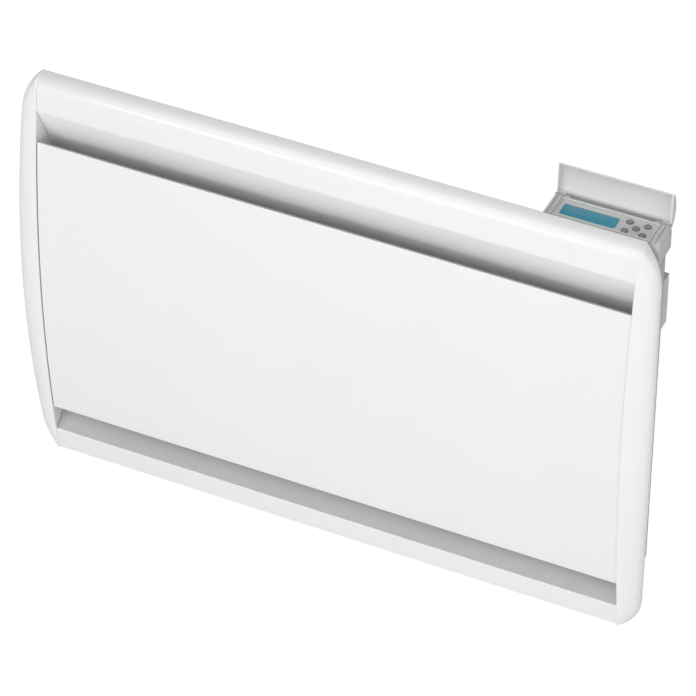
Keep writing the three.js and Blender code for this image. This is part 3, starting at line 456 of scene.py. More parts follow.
class Recipe:
    """The node tree of one finish."""

    COAT_ROUGHNESS = 0.2
    DRIFT = 7.0  # scale of a moulding's slow drifts of tone
    GLOSS = 38.0  # scale of its patches of gloss
    BOARD_GLOSS = 90.0
    LINES = (0.03, 1.0, 1.0)  # draws a pattern out into lines along x
    ZINC_GRAIN = 4  # how many times finer than the crystals the grain on them is

    def __init__(self, finish: Finish) -> None:
        """Builds the tree.

        Args:
            finish: The finish to build.
        """
        self.finish = finish
        self.material = bpy.data.materials.new("finish_" + finish.slot)
        self.material.use_nodes = True
        self.tree = self.material.node_tree
        self.shader = self.tree.nodes["Principled BSDF"]
        self.place = self.node("ShaderNodeTexCoord").outputs["Object"]
        self.shader.inputs["Metallic"].default_value = finish.metallic
        self.shader.inputs["Specular IOR Level"].default_value = finish.specular
        self.shader.inputs["Coat Weight"].default_value = finish.coat
        self.shader.inputs["Coat Roughness"].default_value = self.COAT_ROUGHNESS
        builders = {Grain.SPANGLE: self.spangle, Grain.DRAWN: self.drawn, Grain.MASK: self.mask}
        builders.get(finish.grain, self.moulded)()

    def node(self, kind: str, **inputs: object) -> bpy.types.Node:
        """Adds a node.

        Args:
            kind: The node's type.
            inputs: Values or links for its inputs, with _ for a space in a name.

        Returns:
            The node.
        """
        made = self.tree.nodes.new(kind)
        for name, value in inputs.items():
            socket = made.inputs[name.replace("_", " ")]
            if isinstance(value, bpy.types.NodeSocket):
                self.tree.links.new(value, socket)
            else:
                socket.default_value = value
        return made

    def mapped(self, stretch: Sequence[float] = (1.0, 1.0, 1.0)) -> bpy.types.NodeSocket:
        """Reads the place on the object, stretched along the axes."""
        mapping = self.node("ShaderNodeMapping", Vector=self.place, Scale=tuple(stretch))
        return mapping.outputs["Vector"]

    def noise(
        self, scale: float, detail: float = 2.0, stretch: Sequence[float] = (1.0, 1.0, 1.0)
    ) -> bpy.types.NodeSocket:
        """Adds a noise pattern, stretched along the axes."""
        place = self.mapped(stretch)
        return self.node("ShaderNodeTexNoise", Vector=place, Scale=scale, Detail=detail).outputs["Fac"]

    def tone(self, factor: bpy.types.NodeSocket, low: float = 0.35, high: float = 0.65) -> None:
        """Mixes the finish's two tones by a pattern.

        Args:
            factor: The pattern.
            low: Where in its range the dark tone ends.
            high: Where the light tone starts.
        """
        ramp = self.node("ShaderNodeValToRGB", Fac=factor)
        first, last = ramp.color_ramp.elements
        first.position, first.color = low, (*self.finish.dark, 1.0)
        last.position, last.color = high, (*self.finish.light, 1.0)
        self.tree.links.new(ramp.outputs["Color"], self.shader.inputs["Base Color"])

    def roughen(self, factor: bpy.types.NodeSocket) -> None:
        """Varies the roughness over the finish's range.

        Args:
            factor: The pattern to vary it by.
        """
        spread = self.node("ShaderNodeMapRange", Value=factor)
        for end, value in zip(("To Min", "To Max"), self.finish.rough):
            spread.inputs[end].default_value = value
        self.tree.links.new(spread.outputs["Result"], self.shader.inputs["Roughness"])

    def raise_grain(self, height: bpy.types.NodeSocket, distance: float = 0.0002) -> None:
        """Raises the surface by a pattern, over a distance in metres."""
        bump = self.node("ShaderNodeBump", Strength=self.finish.bump, Distance=distance, Height=height)
        self.tree.links.new(bump.outputs["Normal"], self.shader.inputs["Normal"])

    def moulded(self) -> None:
        """Enamel, moulding or a window: a fine even grain with slow drifts of tone and gloss."""
        self.tone(self.noise(self.DRIFT, detail=3.0), low=0.3, high=0.7)
        self.roughen(self.noise(self.GLOSS, detail=4.0))
        self.raise_grain(self.noise(self.finish.scale, detail=3.0))

    def spangle(self) -> None:
        """Zinc: crystals of slightly different tone and gloss."""
        cells = self.node("ShaderNodeTexVoronoi", Vector=self.mapped(), Scale=self.finish.scale)
        crystal = self.node("ShaderNodeRGBToBW", Color=cells.outputs["Color"]).outputs["Val"]
        self.tone(crystal, low=0.1, high=0.9)
        self.roughen(crystal)
        grain = self.noise(self.finish.scale * self.ZINC_GRAIN, detail=3.0)
        self.raise_grain(grain, distance=0.0001)

    def drawn(self) -> None:
        """Metal: fine lines along the piece."""
        lines = self.noise(self.finish.scale, detail=3.0, stretch=self.LINES)
        self.tone(lines)
        self.roughen(lines)
        self.raise_grain(lines, distance=0.00005)

    def mask(self) -> None:
        """Board: solder mask a little raised over its tracks."""
        bricks = self.node("ShaderNodeTexBrick", Vector=self.mapped(), Scale=self.finish.scale)
        bricks.inputs["Mortar Size"].default_value = 0.06
        self.tone(bricks.outputs["Fac"], low=0.2, high=0.8)
        self.roughen(self.noise(self.BOARD_GLOSS))
        self.raise_grain(bricks.outputs["Fac"], distance=0.0001)


def grey(level: float) -> Colour:
    """A plain grey."""
    return (level, level, level)


def enamel(slot: str, light: float, dark: float, rough: Span, coat: float = 0.0) -> Finish:
    """A stoved enamel in two close greys."""
    return Finish(slot, grey(light), grey(dark), rough, Grain.PEEL, scale=900.0, bump=0.05, coat=coat)


def spark(
    slot: str, light: Colour, dark: Colour, rough: Span, scale: float = 2200.0, bump: float = 0.12
) -> Finish:
    """A moulding from a spark-eroded mould."""
    return Finish(slot, light, dark, rough, Grain.SPARK, scale=scale, bump=bump)


def satin(
    slot: str, light: Colour, dark: Colour, rough: Span, bump: float = 0.03, coat: float = 0.0
) -> Finish:
    """A smooth satin moulding."""
    return Finish(slot, light, dark, rough, Grain.SATIN, scale=1400.0, bump=bump, coat=coat)


def sleeve(slot: str, light: Colour, dark: Colour) -> Finish:
    """A wire's satin sleeve."""
    return Finish(slot, light, dark, (0.45, 0.6), Grain.SATIN, scale=1600.0, bump=0.1)


def metal(slot: str, light: Colour, dark: Colour, rough: Span, scale: float = 1500.0) -> Finish:
    """A drawn or turned metal."""
    return Finish(slot, light, dark, rough, Grain.DRAWN, scale=scale, bump=0.1, metallic=1.0)


WHITE_ENAMEL = enamel("white_enamel", 0.862, 0.85, (0.26, 0.34), coat=0.6)
# Painted shade: the casing's enamel is darkened so that the slots behind the panel look shaded.
CASING_PAINTED_SHADE = enamel("casing_enamel", 0.47, 0.44, (0.35, 0.45))
# Painted shade on the tops of the panel's folds: the same enamel, made darker.
FOLD_PAINTED_SHADE = enamel("fold_enamel", 0.4, 0.37, (0.35, 0.45))
# Painted light: a lighter copy of the white enamel for the deflector, standing in for light deep in the
# outlet.
DEFLECTOR_PAINTED_LIGHT = enamel("bright_enamel", 0.91, 0.9, (0.4, 0.5))

GREY_PLASTIC = spark("grey_plastic", (0.63, 0.64, 0.635), (0.6, 0.61, 0.605), (0.42, 0.52))
# Painted shade: the controller's grey plastic made darker for the housing, whose side lies in shade.
HOUSING_PAINTED_SHADE = spark("housing_grey", (0.59, 0.595, 0.59), (0.56, 0.565, 0.56), (0.42, 0.52))
# Painted shade: a much darker copy of the grey plastic, for the strip under the open lid, the grooves'
# floors and the lid's hinge side.
PAINTED_SHADE_GREY = spark("strip_grey", (0.43, 0.435, 0.43), (0.4, 0.405, 0.4), (0.42, 0.52))
DARK_GREY = spark("dark_grey_plastic", (0.2, 0.21, 0.215), (0.15, 0.16, 0.165), (0.4, 0.55))
KEY_MIDDLE = spark("key_middle", (0.34, 0.355, 0.355), (0.3, 0.315, 0.315), (0.4, 0.5), bump=0.1)

BARE_STEEL = metal("bare_steel", (0.66, 0.67, 0.69), (0.5, 0.51, 0.53), (0.22, 0.42))
ALUMINIUM = metal("aluminium", (0.72, 0.73, 0.75), (0.6, 0.61, 0.63), (0.3, 0.5), scale=900.0)
BRASS = metal("brass", (0.62, 0.45, 0.16), (0.45, 0.31, 0.09), (0.2, 0.4))
GALVANISED = Finish(
    "galvanised_steel", (0.6, 0.62, 0.64), (0.43, 0.45, 0.47), (0.3, 0.55), Grain.SPANGLE,
    scale=140.0, bump=0.08, metallic=0.9,
)

WHITE_PLASTIC = satin("white_plastic", grey(0.872), grey(0.86), (0.3, 0.38), coat=0.4)
# Painted shade: a darker copy of the white plastic, for the lid's inner side and its right end.
LID_PAINTED_SHADE = satin("lid_inside", grey(0.73), grey(0.7), (0.45, 0.55), bump=0.04)
# The trim ring is a real part, and its grey lighter than the plate is a painted highlight along its edges.
TRIM_PAINTED_HIGHLIGHT = satin("trim_grey", (0.85, 0.85, 0.84), (0.82, 0.82, 0.81), (0.25, 0.35))
RED_SLEEVE = sleeve("red_wire", (0.32, 0.03, 0.02), (0.24, 0.02, 0.015))
BLUE_SLEEVE = sleeve("blue_wire", (0.03, 0.08, 0.27), (0.02, 0.05, 0.2))
CERAMIC = Finish(
    "ceramic", (0.8, 0.77, 0.69), (0.72, 0.69, 0.6), (0.25, 0.45), Grain.SATIN,
    scale=600.0, bump=0.08,
)
DISPLAY_BLUE = Finish(
    "display_blue", (0.06, 0.33, 0.46), (0.05, 0.29, 0.41), (0.07, 0.12), Grain.GLASS,
    scale=300.0, bump=0.01,
)
CIRCUIT = Finish(
    "circuit_board", (0.045, 0.2, 0.075), (0.02, 0.1, 0.035), (0.3, 0.4), Grain.MASK,
    scale=160.0, bump=0.3,
)
SILICONE = spark("silicone", (0.16, 0.17, 0.17), (0.12, 0.13, 0.13), (0.6, 0.75), 1500.0, 0.1)
BLACK_PLASTIC = spark(
    "black_plastic", (0.03, 0.032, 0.034), (0.018, 0.02, 0.022), (0.35, 0.5), 1800.0, 0.15
)


def dress(piece: bpy.types.Object, *finishes: Finish) -> None:
    """Gives a piece its finishes as material slots.

    Args:
        piece: The piece.
        finishes: Its finishes, the main one first.
    """
    piece.data.materials.clear()
    for finish in finishes:
        piece.data.materials.append(finish.material())


def paint(
    piece: bpy.types.Object, slot: int, test: Callable[[bpy.types.MeshPolygon], bool]
) -> None:
    """Gives some of a piece's faces another of its finishes.

    Args:
        piece: The dressed piece.
        slot: The finish's place among the piece's finishes.
        test: Says whether a face gets it.
    """
    for face in piece.data.polygons:
        if test(face):
            face.material_index = slot


# ------------------------------------------------------------------------------- assemblies
@dataclass
class Assembly:
    """A group of pieces that ride on one body."""

    body: str
    nodes: dict[str, bpy.types.Object]

    def install(self, piece: bpy.types.Object, finish: Finish, *replaced: str) -> None:
        """Lets a dressed piece ride in place of CAD nodes.

        Args:
            piece: The finished piece.
            finish: Not used.
            replaced: The CAD nodes it stands for.
        """
        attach(piece, self.body)
        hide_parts(*replaced)
        LOG.info("%s: %s faces, for %s", piece.name, len(piece.data.polygons), ", ".join(replaced))

    def settle(self, piece: bpy.types.Object, finish: Finish, replaced: str) -> None:
        """Smooths a piece of one finish, dresses it and installs it.

        Args:
            piece: The shaped piece.
            finish: Its finish.
            replaced: The CAD node it stands for.
        """
        smooth(piece)
        dress(piece, finish)
        self.install(piece, finish, replaced)

    def recoat(self, finish: Finish, *names: str) -> None:
        """Gives CAD nodes that stay a finish.

        Args:
            finish: The finish.
            names: The nodes.
        """
        for name in names:
            for slot in self.nodes[name].material_slots:
                slot.material = finish.material()
            LOG.info("%s: carried over in %s", name, finish.slot)


@dataclass(frozen=True)
class SideProfile:
    """The heater's side view: one shallow bow, and the crown's rounding over it."""

    stand_off: float = 87.8 * MM  # from the wall to the crest of the bow
    radius: float = 1.365
    top: float = 80 * MM
    bottom: float = -349 * MM
    crown_y: float = -57.2 * MM
    crown_drop: float = 22.5 * MM
    crown_steps: int = 28
    lower_lean: float = 0.8 * MM  # the crown's lower handle: this far back from the bow
    lower_rise: float = 0.69  # and up by this share of the drop
    upper_depth: float = 0.29  # its upper handle: back by this share of the crown's depth
    upper_drop: float = 0.09  # and under the top by this share of the drop
    fade: int = 4  # the higher, the nearer to the top edge an inset dies out
    rail_low: float = 46.1 * MM
    panel_top: float = 15 * MM
    panel_bottom: float = -292.8 * MM
    low_rail_top: float = -323 * MM
    casing_top: float = 53 * MM
    seam_x: float = 282.2 * MM

    @property
    def crown_start(self) -> float:
        """Height where the crown's rounding begins."""
        return self.top - self.crown_drop

    def front(self, z: float) -> float:
        """Depth of the bow at a height."""
        drop = z - (self.top + self.bottom) / 2
        return -self.stand_off + self.radius - math.sqrt(self.radius**2 - drop**2)

    def bow(self, low: float, high: float, count: int, setback: float = 0.0) -> list[Bend]:
        """Points up the bow or behind it, with no bends at them."""
        heights = [low + (high - low) * i / count for i in range(count + 1)]
        return [(self.front(z) + setback, z, 0.0) for z in heights]

    def crown(self, count: int = crown_steps, setback: float = 0.0) -> list[Bend]:
        """Finds points of the crown's rounding or inside it.

        Args:
            count: How many steps it has.
            setback: How far inside the rounding it starts. At the top edge that is nothing.

        Returns:
            The points, from the rounding's start to the top edge, with no bends at them.
        """
        face, start, drop = self.front(self.crown_start), self.crown_start, self.crown_drop
        depth = self.crown_y - face
        handles = (
            (face, start),
            (face + self.lower_lean, start + self.lower_rise * drop),
            (face + self.upper_depth * depth, self.top - self.upper_drop * drop),
            (self.crown_y, self.top),
        )
        points = curve(handles, count)
        placed = []
        for i, (y, z) in enumerate(points):
            before, after = points[max(i - 1, 0)], points[min(i + 1, count)]
            along = (Vector(after) - Vector(before)).normalized()
            sunk = setback * (1 - (i / count) ** self.fade)
            placed.append((y + along.y * sunk, z - along.x * sunk, 0.0))
        return placed

    def face(self, z: float) -> float:
        """Finds the depth of the outer face, crown included.

        Args:
            z: The height.

        Returns:
            The face's y.
        """
        if z <= self.crown_start:
            return self.front(z)
        points = self.crown()
        for (y0, z0, _), (y1, z1, _) in zip(points, points[1:]):
            if z <= z1:
                return y0 + (y1 - y0) * (z - z0) / (z1 - z0)
        return self.crown_y


@dataclass
class FrontSkins(Assembly):
    """The bowed front panel and the rails above and below it."""

    side: SideProfile = field(default_factory=SideProfile)
    rail_wall: float = 1.8 * MM
    rail_inset: float = 0.7 * MM  # behind the caps' edges
    rail_gap: float = 0.1 * MM
    rail_rounding: float = 0.12 * MM
    panel_wall: float = 1.2 * MM
    panel_inset: float = 0.8 * MM
    panel_shift: float = 0.4 * MM  # the panel sits a little to the right in its opening
    panel_spread: float = 0.15 * MM
    panel_rounding: float = 0.45 * MM
    seam: float = 0.9 * MM
    seat: float = 0.3 * MM
    bend: float = 0.8 * MM
    foot_bend: float = 0.5 * MM
    lip_bend: float = 0.7 * MM
    lip: float = 5 * MM  # the top rail's, under its lower edge
    top_return: float = 2.3 * MM
    fold: float = 3.6 * MM
    hem: float = 9 * MM
    flange: float = 13 * MM
    flange_trim: float = 1 * MM
    flange_play: float = 0.4 * MM
    low_rail_depth: float = 23 * MM
    low_rail_rise: float = 15.5 * MM
    panel_steps: int = 40
    flange_steps: tuple[int, int] = (30, 20)  # up its front, up its rear
    rail_steps: tuple[int, int] = (8, 10)  # in the top rail's bow, in the bottom rail's

    def build(self) -> None:
        """Builds the panel and both rails."""
        self.panel()
        self.top_rail()
        self.bottom_rail()

    def panel(self) -> None:
        """Bends the panel: hemmed folds above and below, then a flange down each side."""
        side, inset, wall = self.side, self.panel_inset, self.panel_wall
        top, bottom = side.panel_top, side.panel_bottom
        back_top, back_bottom = side.front(top) + self.fold, side.front(bottom) + self.fold
        path = [
            (back_bottom, bottom + self.hem, 0.0),
            (back_bottom, bottom, self.bend),
            (side.front(bottom) + inset, bottom, self.bend),
            *side.bow(bottom, top, self.panel_steps, inset)[1:-1],
            (side.front(top) + inset, top, self.bend),
            (back_top, top, self.bend),
            (back_top, top - self.hem, 0.0),
        ]
        half = side.seam_x - self.seam
        left = -half + self.panel_shift - self.panel_spread
        right = half + self.panel_shift + self.panel_spread
        sheet = fold_sheet("front_panel_skin", rounded(path), (left, right), wall)
        soften(sheet, self.panel_rounding, segments=3)
        flanges = [self.flange_plate(left, left + wall), self.flange_plate(right - wall, right)]
        sheet = join("front_panel_skin", *flanges, sheet)
        smooth(sheet)
        # Faces looking up, the tops of the folds, take the darker enamel as painted shade.
        dress(sheet, WHITE_ENAMEL, FOLD_PAINTED_SHADE)
        paint(sheet, 1, lambda face: face.normal.z > FACING)
        self.install(sheet, WHITE_ENAMEL, "front_panel")

    def flange_plate(self, low: float, high: float) -> bpy.types.Object:
        """Makes one of the panel's side flanges.

        Args:
            low: Where it starts in x.
            high: Where it ends.

        Returns:
            The flange, bowed behind the panel's face.
        """
        side, trim, (fore_steps, rear_steps) = self.side, self.flange_trim, self.flange_steps
        fore = side.bow(side.panel_bottom + trim, side.panel_top - trim, fore_steps)
        rear = side.bow(side.panel_bottom + self.hem, side.panel_top - self.hem, rear_steps)
        outline = [(y + self.panel_inset + self.flange_play, z) for y, z, _ in fore]
        outline += [(y + self.flange, z) for y, z, _ in reversed(rear)]
        return prism("flange", "x", outline, low, high)

    def top_rail(self) -> None:
        """Bends the top rail: a lip under its lower edge, the crown, and its rear wall."""
        side, low, inset = self.side, self.side.rail_low, self.rail_inset
        self.rail("top_rail", [
            (side.front(low) + self.lip, low, 0.0),
            (side.front(low) + inset, low, self.bend),
            *side.bow(low, side.crown_start, self.rail_steps[0], inset)[1:],
            *side.crown(setback=inset)[1:-1],
            (side.crown_y, side.top, self.bend),
            (side.crown_y, side.casing_top + self.seat, 0.0),
        ])

    def bottom_rail(self) -> None:
        """Bends the bottom rail: its rear wall, rising underside, face and top lip."""
        side, top, bottom, inset = self.side, self.side.low_rail_top, self.side.bottom, self.rail_inset
        rear = side.front(bottom) + self.low_rail_depth
        self.rail("bottom_rail", [
            (rear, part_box("bottom_rail")[1].z, 0.0),
            (rear, bottom + self.low_rail_rise, self.bend),
            (side.front(bottom) + inset, bottom, self.foot_bend),
            *side.bow(bottom, top, self.rail_steps[1], inset)[1:-1],
            (side.front(top) + inset, top, self.lip_bend),
            (side.front(top) + self.top_return, top, 0.0),
        ])

    def rail(self, node: str, path: Sequence[Bend]) -> None:
        """Bends one rail between the caps.

        Args:
            node: The CAD node it stands for.
            path: The corners of its outer face.
        """
        half = self.side.seam_x - self.rail_gap
        rail = fold_sheet(node + "_skin", rounded(path), (-half, half), self.rail_wall)
        soften(rail, self.rail_rounding)
        self.settle(rail, WHITE_ENAMEL, node)


# --------------------------------------------------------------------------------- end caps
@dataclass
class EndCaps(Assembly):
    """The two moulded end caps: one dished skin and its web, mirrored for the other end."""

    side: SideProfile = field(default_factory=SideProfile)
    width: float = 24.1 * MM
    outline_radius: float = 3.450
    depth: float = 12.2 * MM
    wall: float = 2.2 * MM
    narrow_wall: float = 0.4  # share of the cap's width that its wall takes where it is narrow
    least_wall: float = 0.05  # thinnest wall as a share of the full one
    rim: float = 0.8 * MM
    top_tip: float = 1.2 * MM
    bottom_tip: float = 4.0 * MM
    top_corner: float = 50 * MM
    top_power: int = 3  # how late the cap narrows towards its top
    bottom_corner: float = 32 * MM
    edge: float = 0.18 * MM
    tilt: float = 14.0  # degrees of its rounding that the face starts with
    blend: float = 3.0  # how softly the crown's rounding runs into the cap's
    flange: float = 2.6 * MM
    step: float = 0.2 * MM  # up and down from a height, to find the profile's slope there
    rear_play: float = 0.2 * MM
    web: float = 2.2 * MM
    web_inset: float = 2.0 * MM
    web_seat: float = 0.15 * MM
    web_rear: float = 0.3 * MM
    web_foot: float = -288 * MM
    web_steps: tuple[int, int] = (20, 14)  # in the bow, in the crown
    casing_wall: float = 1.3 * MM
    rows: int = 110
    columns: int = 20
    edge_columns: int = 4

    def build(self) -> None:
        """Builds the right cap and mirrors a copy of it for the left end."""
        right = self.cap("right_end_cap_skin")
        left = twin_of(right, "left_end_cap_skin")
        smooth(left, MOULDED)
        self.install(right, WHITE_PLASTIC, "right_end_cap")
        self.install(left, WHITE_PLASTIC, "left_end_cap")

    def width_at(self, z: float) -> float:
        """Finds the cap's width: an arched edge, then its top and bottom corners.

        Args:
            z: The height.

        Returns:
            The width out from the seam.
        """
        side, radius = self.side, self.outline_radius
        middle = (side.top + side.bottom) / 2
        full = self.width - (radius - math.sqrt(radius**2 - (z - middle) ** 2))
        into_top = min(max((z - side.top + self.top_corner) / self.top_corner, 0.0), 1.0)
        into_foot = min(max((side.bottom + self.bottom_corner - z) / self.bottom_corner, 0.0), 1.0)
        if into_top > 0:
            return full + (self.top_tip - full) * into_top**self.top_power
        return self.bottom_tip + (full - self.bottom_tip) * math.sqrt(1 - into_foot**2)

    def rear(self, z: float) -> float:
        """Depth of the cap's rear rim at a height."""
        return min(self.side.front(z) + self.depth + self.rim, self.side.crown_y)

    def skin_point(self, column: int, z: float) -> Vector:
        """Places a point of the skin.

        Args:
            column: 0 at the flange's rear edge, then the rounded edge, the face, and the rim last.
            z: The height.

        Returns:
            The point on the right cap.
        """
        side, last = self.side, self.columns - 1
        seam = Vector((side.seam_x, side.face(z), z))
        if column == 0:
            return self.clear(seam + self.inward(z) * self.flange)
        if column <= self.edge_columns:
            turn = (column - 1) / self.edge_columns * math.pi / 2
            seam.x = side.seam_x + self.edge * (1 - math.cos(turn))
            return self.clear(seam + self.inward(z) * (self.edge * (1 - math.sin(turn))))
        if column == last:
            return Vector((side.seam_x + self.width_at(z), self.rear(z), z))
        return self.face_point((column - self.edge_columns) / (last - 1 - self.edge_columns), z)

    def face_point(self, across: float, z: float) -> Vector:
        """Places a point of the dished face.

        Args:
            across: 0 at the rounded edge, 1 next to the rim.
            z: The height.

        Returns:
            The point on the right cap.
        """
        side, tilt = self.side, math.radians(self.tilt)
        turn = tilt + (math.pi / 2 - tilt) * across
        out = (math.sin(turn) - math.sin(tilt)) / (1 - math.sin(tilt))
        depth = self.depth * (math.cos(tilt) - math.cos(turn)) / math.cos(tilt)
        crown = max(side.face(z) - side.front(z), 0.0)
        setback = (crown**self.blend + depth**self.blend) ** (1 / self.blend)
        y = min(side.front(z) + setback, self.rear(z) - self.rim / 2)
        return Vector((side.seam_x + self.edge + (self.width_at(z) - self.edge) * out, y, z))

    def clear(self, point: Vector) -> Vector:
        """Keeps a point in front of the rear rim."""
        point.y = min(point.y, self.side.crown_y - self.rear_play)
        return point

    def inward(self, z: float) -> Vector:
        """Finds the direction into the heater, square to the side profile.

        Args:
            z: The height.

        Returns:
            The direction, with no part along x.
        """
        low, high = z - self.step, min(z + self.step, self.side.top)
        slope = Vector((0.0, self.side.face(high) - self.side.face(low), high - low)).normalized()
        return Vector((0.0, slope.z, -slope.y))

    def cap(self, name: str) -> bpy.types.Object:
        """Shapes one cap from a grid and gives it its wall and web.

        Args:
            name: The cap's name.

        Returns:
            The right cap, dressed.
        """
        across, along = self.columns - 1, self.rows - 1
        take()
        bpy.ops.mesh.primitive_grid_add(x_subdivisions=across, y_subdivisions=along, size=1.0)
        skin = named(name)
        low, high = self.side.bottom, self.side.top
        walls = skin.vertex_groups.new(name="wall")
        for vert in skin.data.vertices:
            column = round((vert.co.x + 0.5) * across)
            z = low + (high - low) * (1 - math.cos((vert.co.y + 0.5) * math.pi)) / 2
            vert.co = self.skin_point(column, z)
            share = min(self.narrow_wall * self.width_at(z) / self.wall, 1.0)
            walls.add([vert.index], share, "REPLACE")
        self.close_foot(skin)
        face_outwards(skin)
        modify(
            skin,
            "SOLIDIFY",
            thickness=self.wall,
            offset=-1.0,
            vertex_group=walls.name,
            thickness_vertex_group=self.least_wall,
        )
        face_outwards(skin)
        inner = self.side.seam_x + self.web_seat
        web = prism("web", "x", self.web_outline(), inner, inner + self.web)
        cap = join(name, web, skin)
        smooth(cap, MOULDED)
        dress(cap, WHITE_PLASTIC)
        return cap

    def close_foot(self, skin: bpy.types.Object) -> None:
        """Turns the skin's lowest edge back to the rim, as the cap's flat foot.

        Args:
            skin: The skin, still without its wall.
        """
        low, rear = self.side.bottom, self.rear(self.side.bottom)
        with editing(skin, "EDGE"):
            pick(skin, "edges", lambda e: all(v.co.z < low + MERGED for v in e.verts))
            extrude((0, 0, 0))
            bpy.ops.transform.resize(value=(1, 0, 1), center_override=(0, rear, low))

    def web_outline(self) -> list[Point]:
        """Draws the web's outline, inside the skin, the rails and the casing.

        Returns:
            The outline's points, up the front and down the rear.
        """
        side, inset = self.side, self.web_inset
        casing_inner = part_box("rear_casing")[1].y - self.casing_wall
        shoulder = side.casing_top - self.casing_wall
        top_y = side.crown_y - self.web_rear
        foot_y = side.front(side.bottom) + FrontSkins.low_rail_depth
        bow_steps, crown_steps = self.web_steps
        bow = side.bow(side.bottom + inset, side.crown_start - inset, bow_steps, inset)
        return [
            *((y, z) for y, z, _ in bow),
            *((y + inset, z - inset) for y, z, _ in side.crown(crown_steps)[:-1]),
            (top_y, side.top - inset),
            (top_y, shoulder),
            (casing_inner, shoulder),
            (casing_inner, self.web_foot),
            (foot_y, side.bottom + FrontSkins.low_rail_rise),
        ]


# ------------------------------------------------------------------------------- controller
@dataclass(frozen=True)
class Hinge:
    """The lid's hinge: two eyes on the housing, and the lid's barrels outside them."""

    y: float = -25 * MM
    z: float = 74.8 * MM
    eyes: tuple[float, float] = (199.4 * MM, 280.9 * MM)
    eye_width: float = 5 * MM
    radius: float = 2.2 * MM
    bore: float = 1.25 * MM
    sides: int = 40

    def outside(self, left: float, right: float, gap: float = 0.0) -> list[Span]:
        """The two stretches outside the eyes, up to a left and a right end."""
        clear = self.eye_width / 2 + gap
        return [(left, self.eyes[0] - clear), (self.eyes[1] + clear, right)]


class Mark(Enum):
    """The keys by place, in steps from the centre one."""

    CENTRE = (0, 0)
    REAR_LEFT = (-1, 1)
    REAR_RIGHT = (1, 1)
    FRONT_LEFT = (-1, -1)
    FRONT_RIGHT = (1, -1)


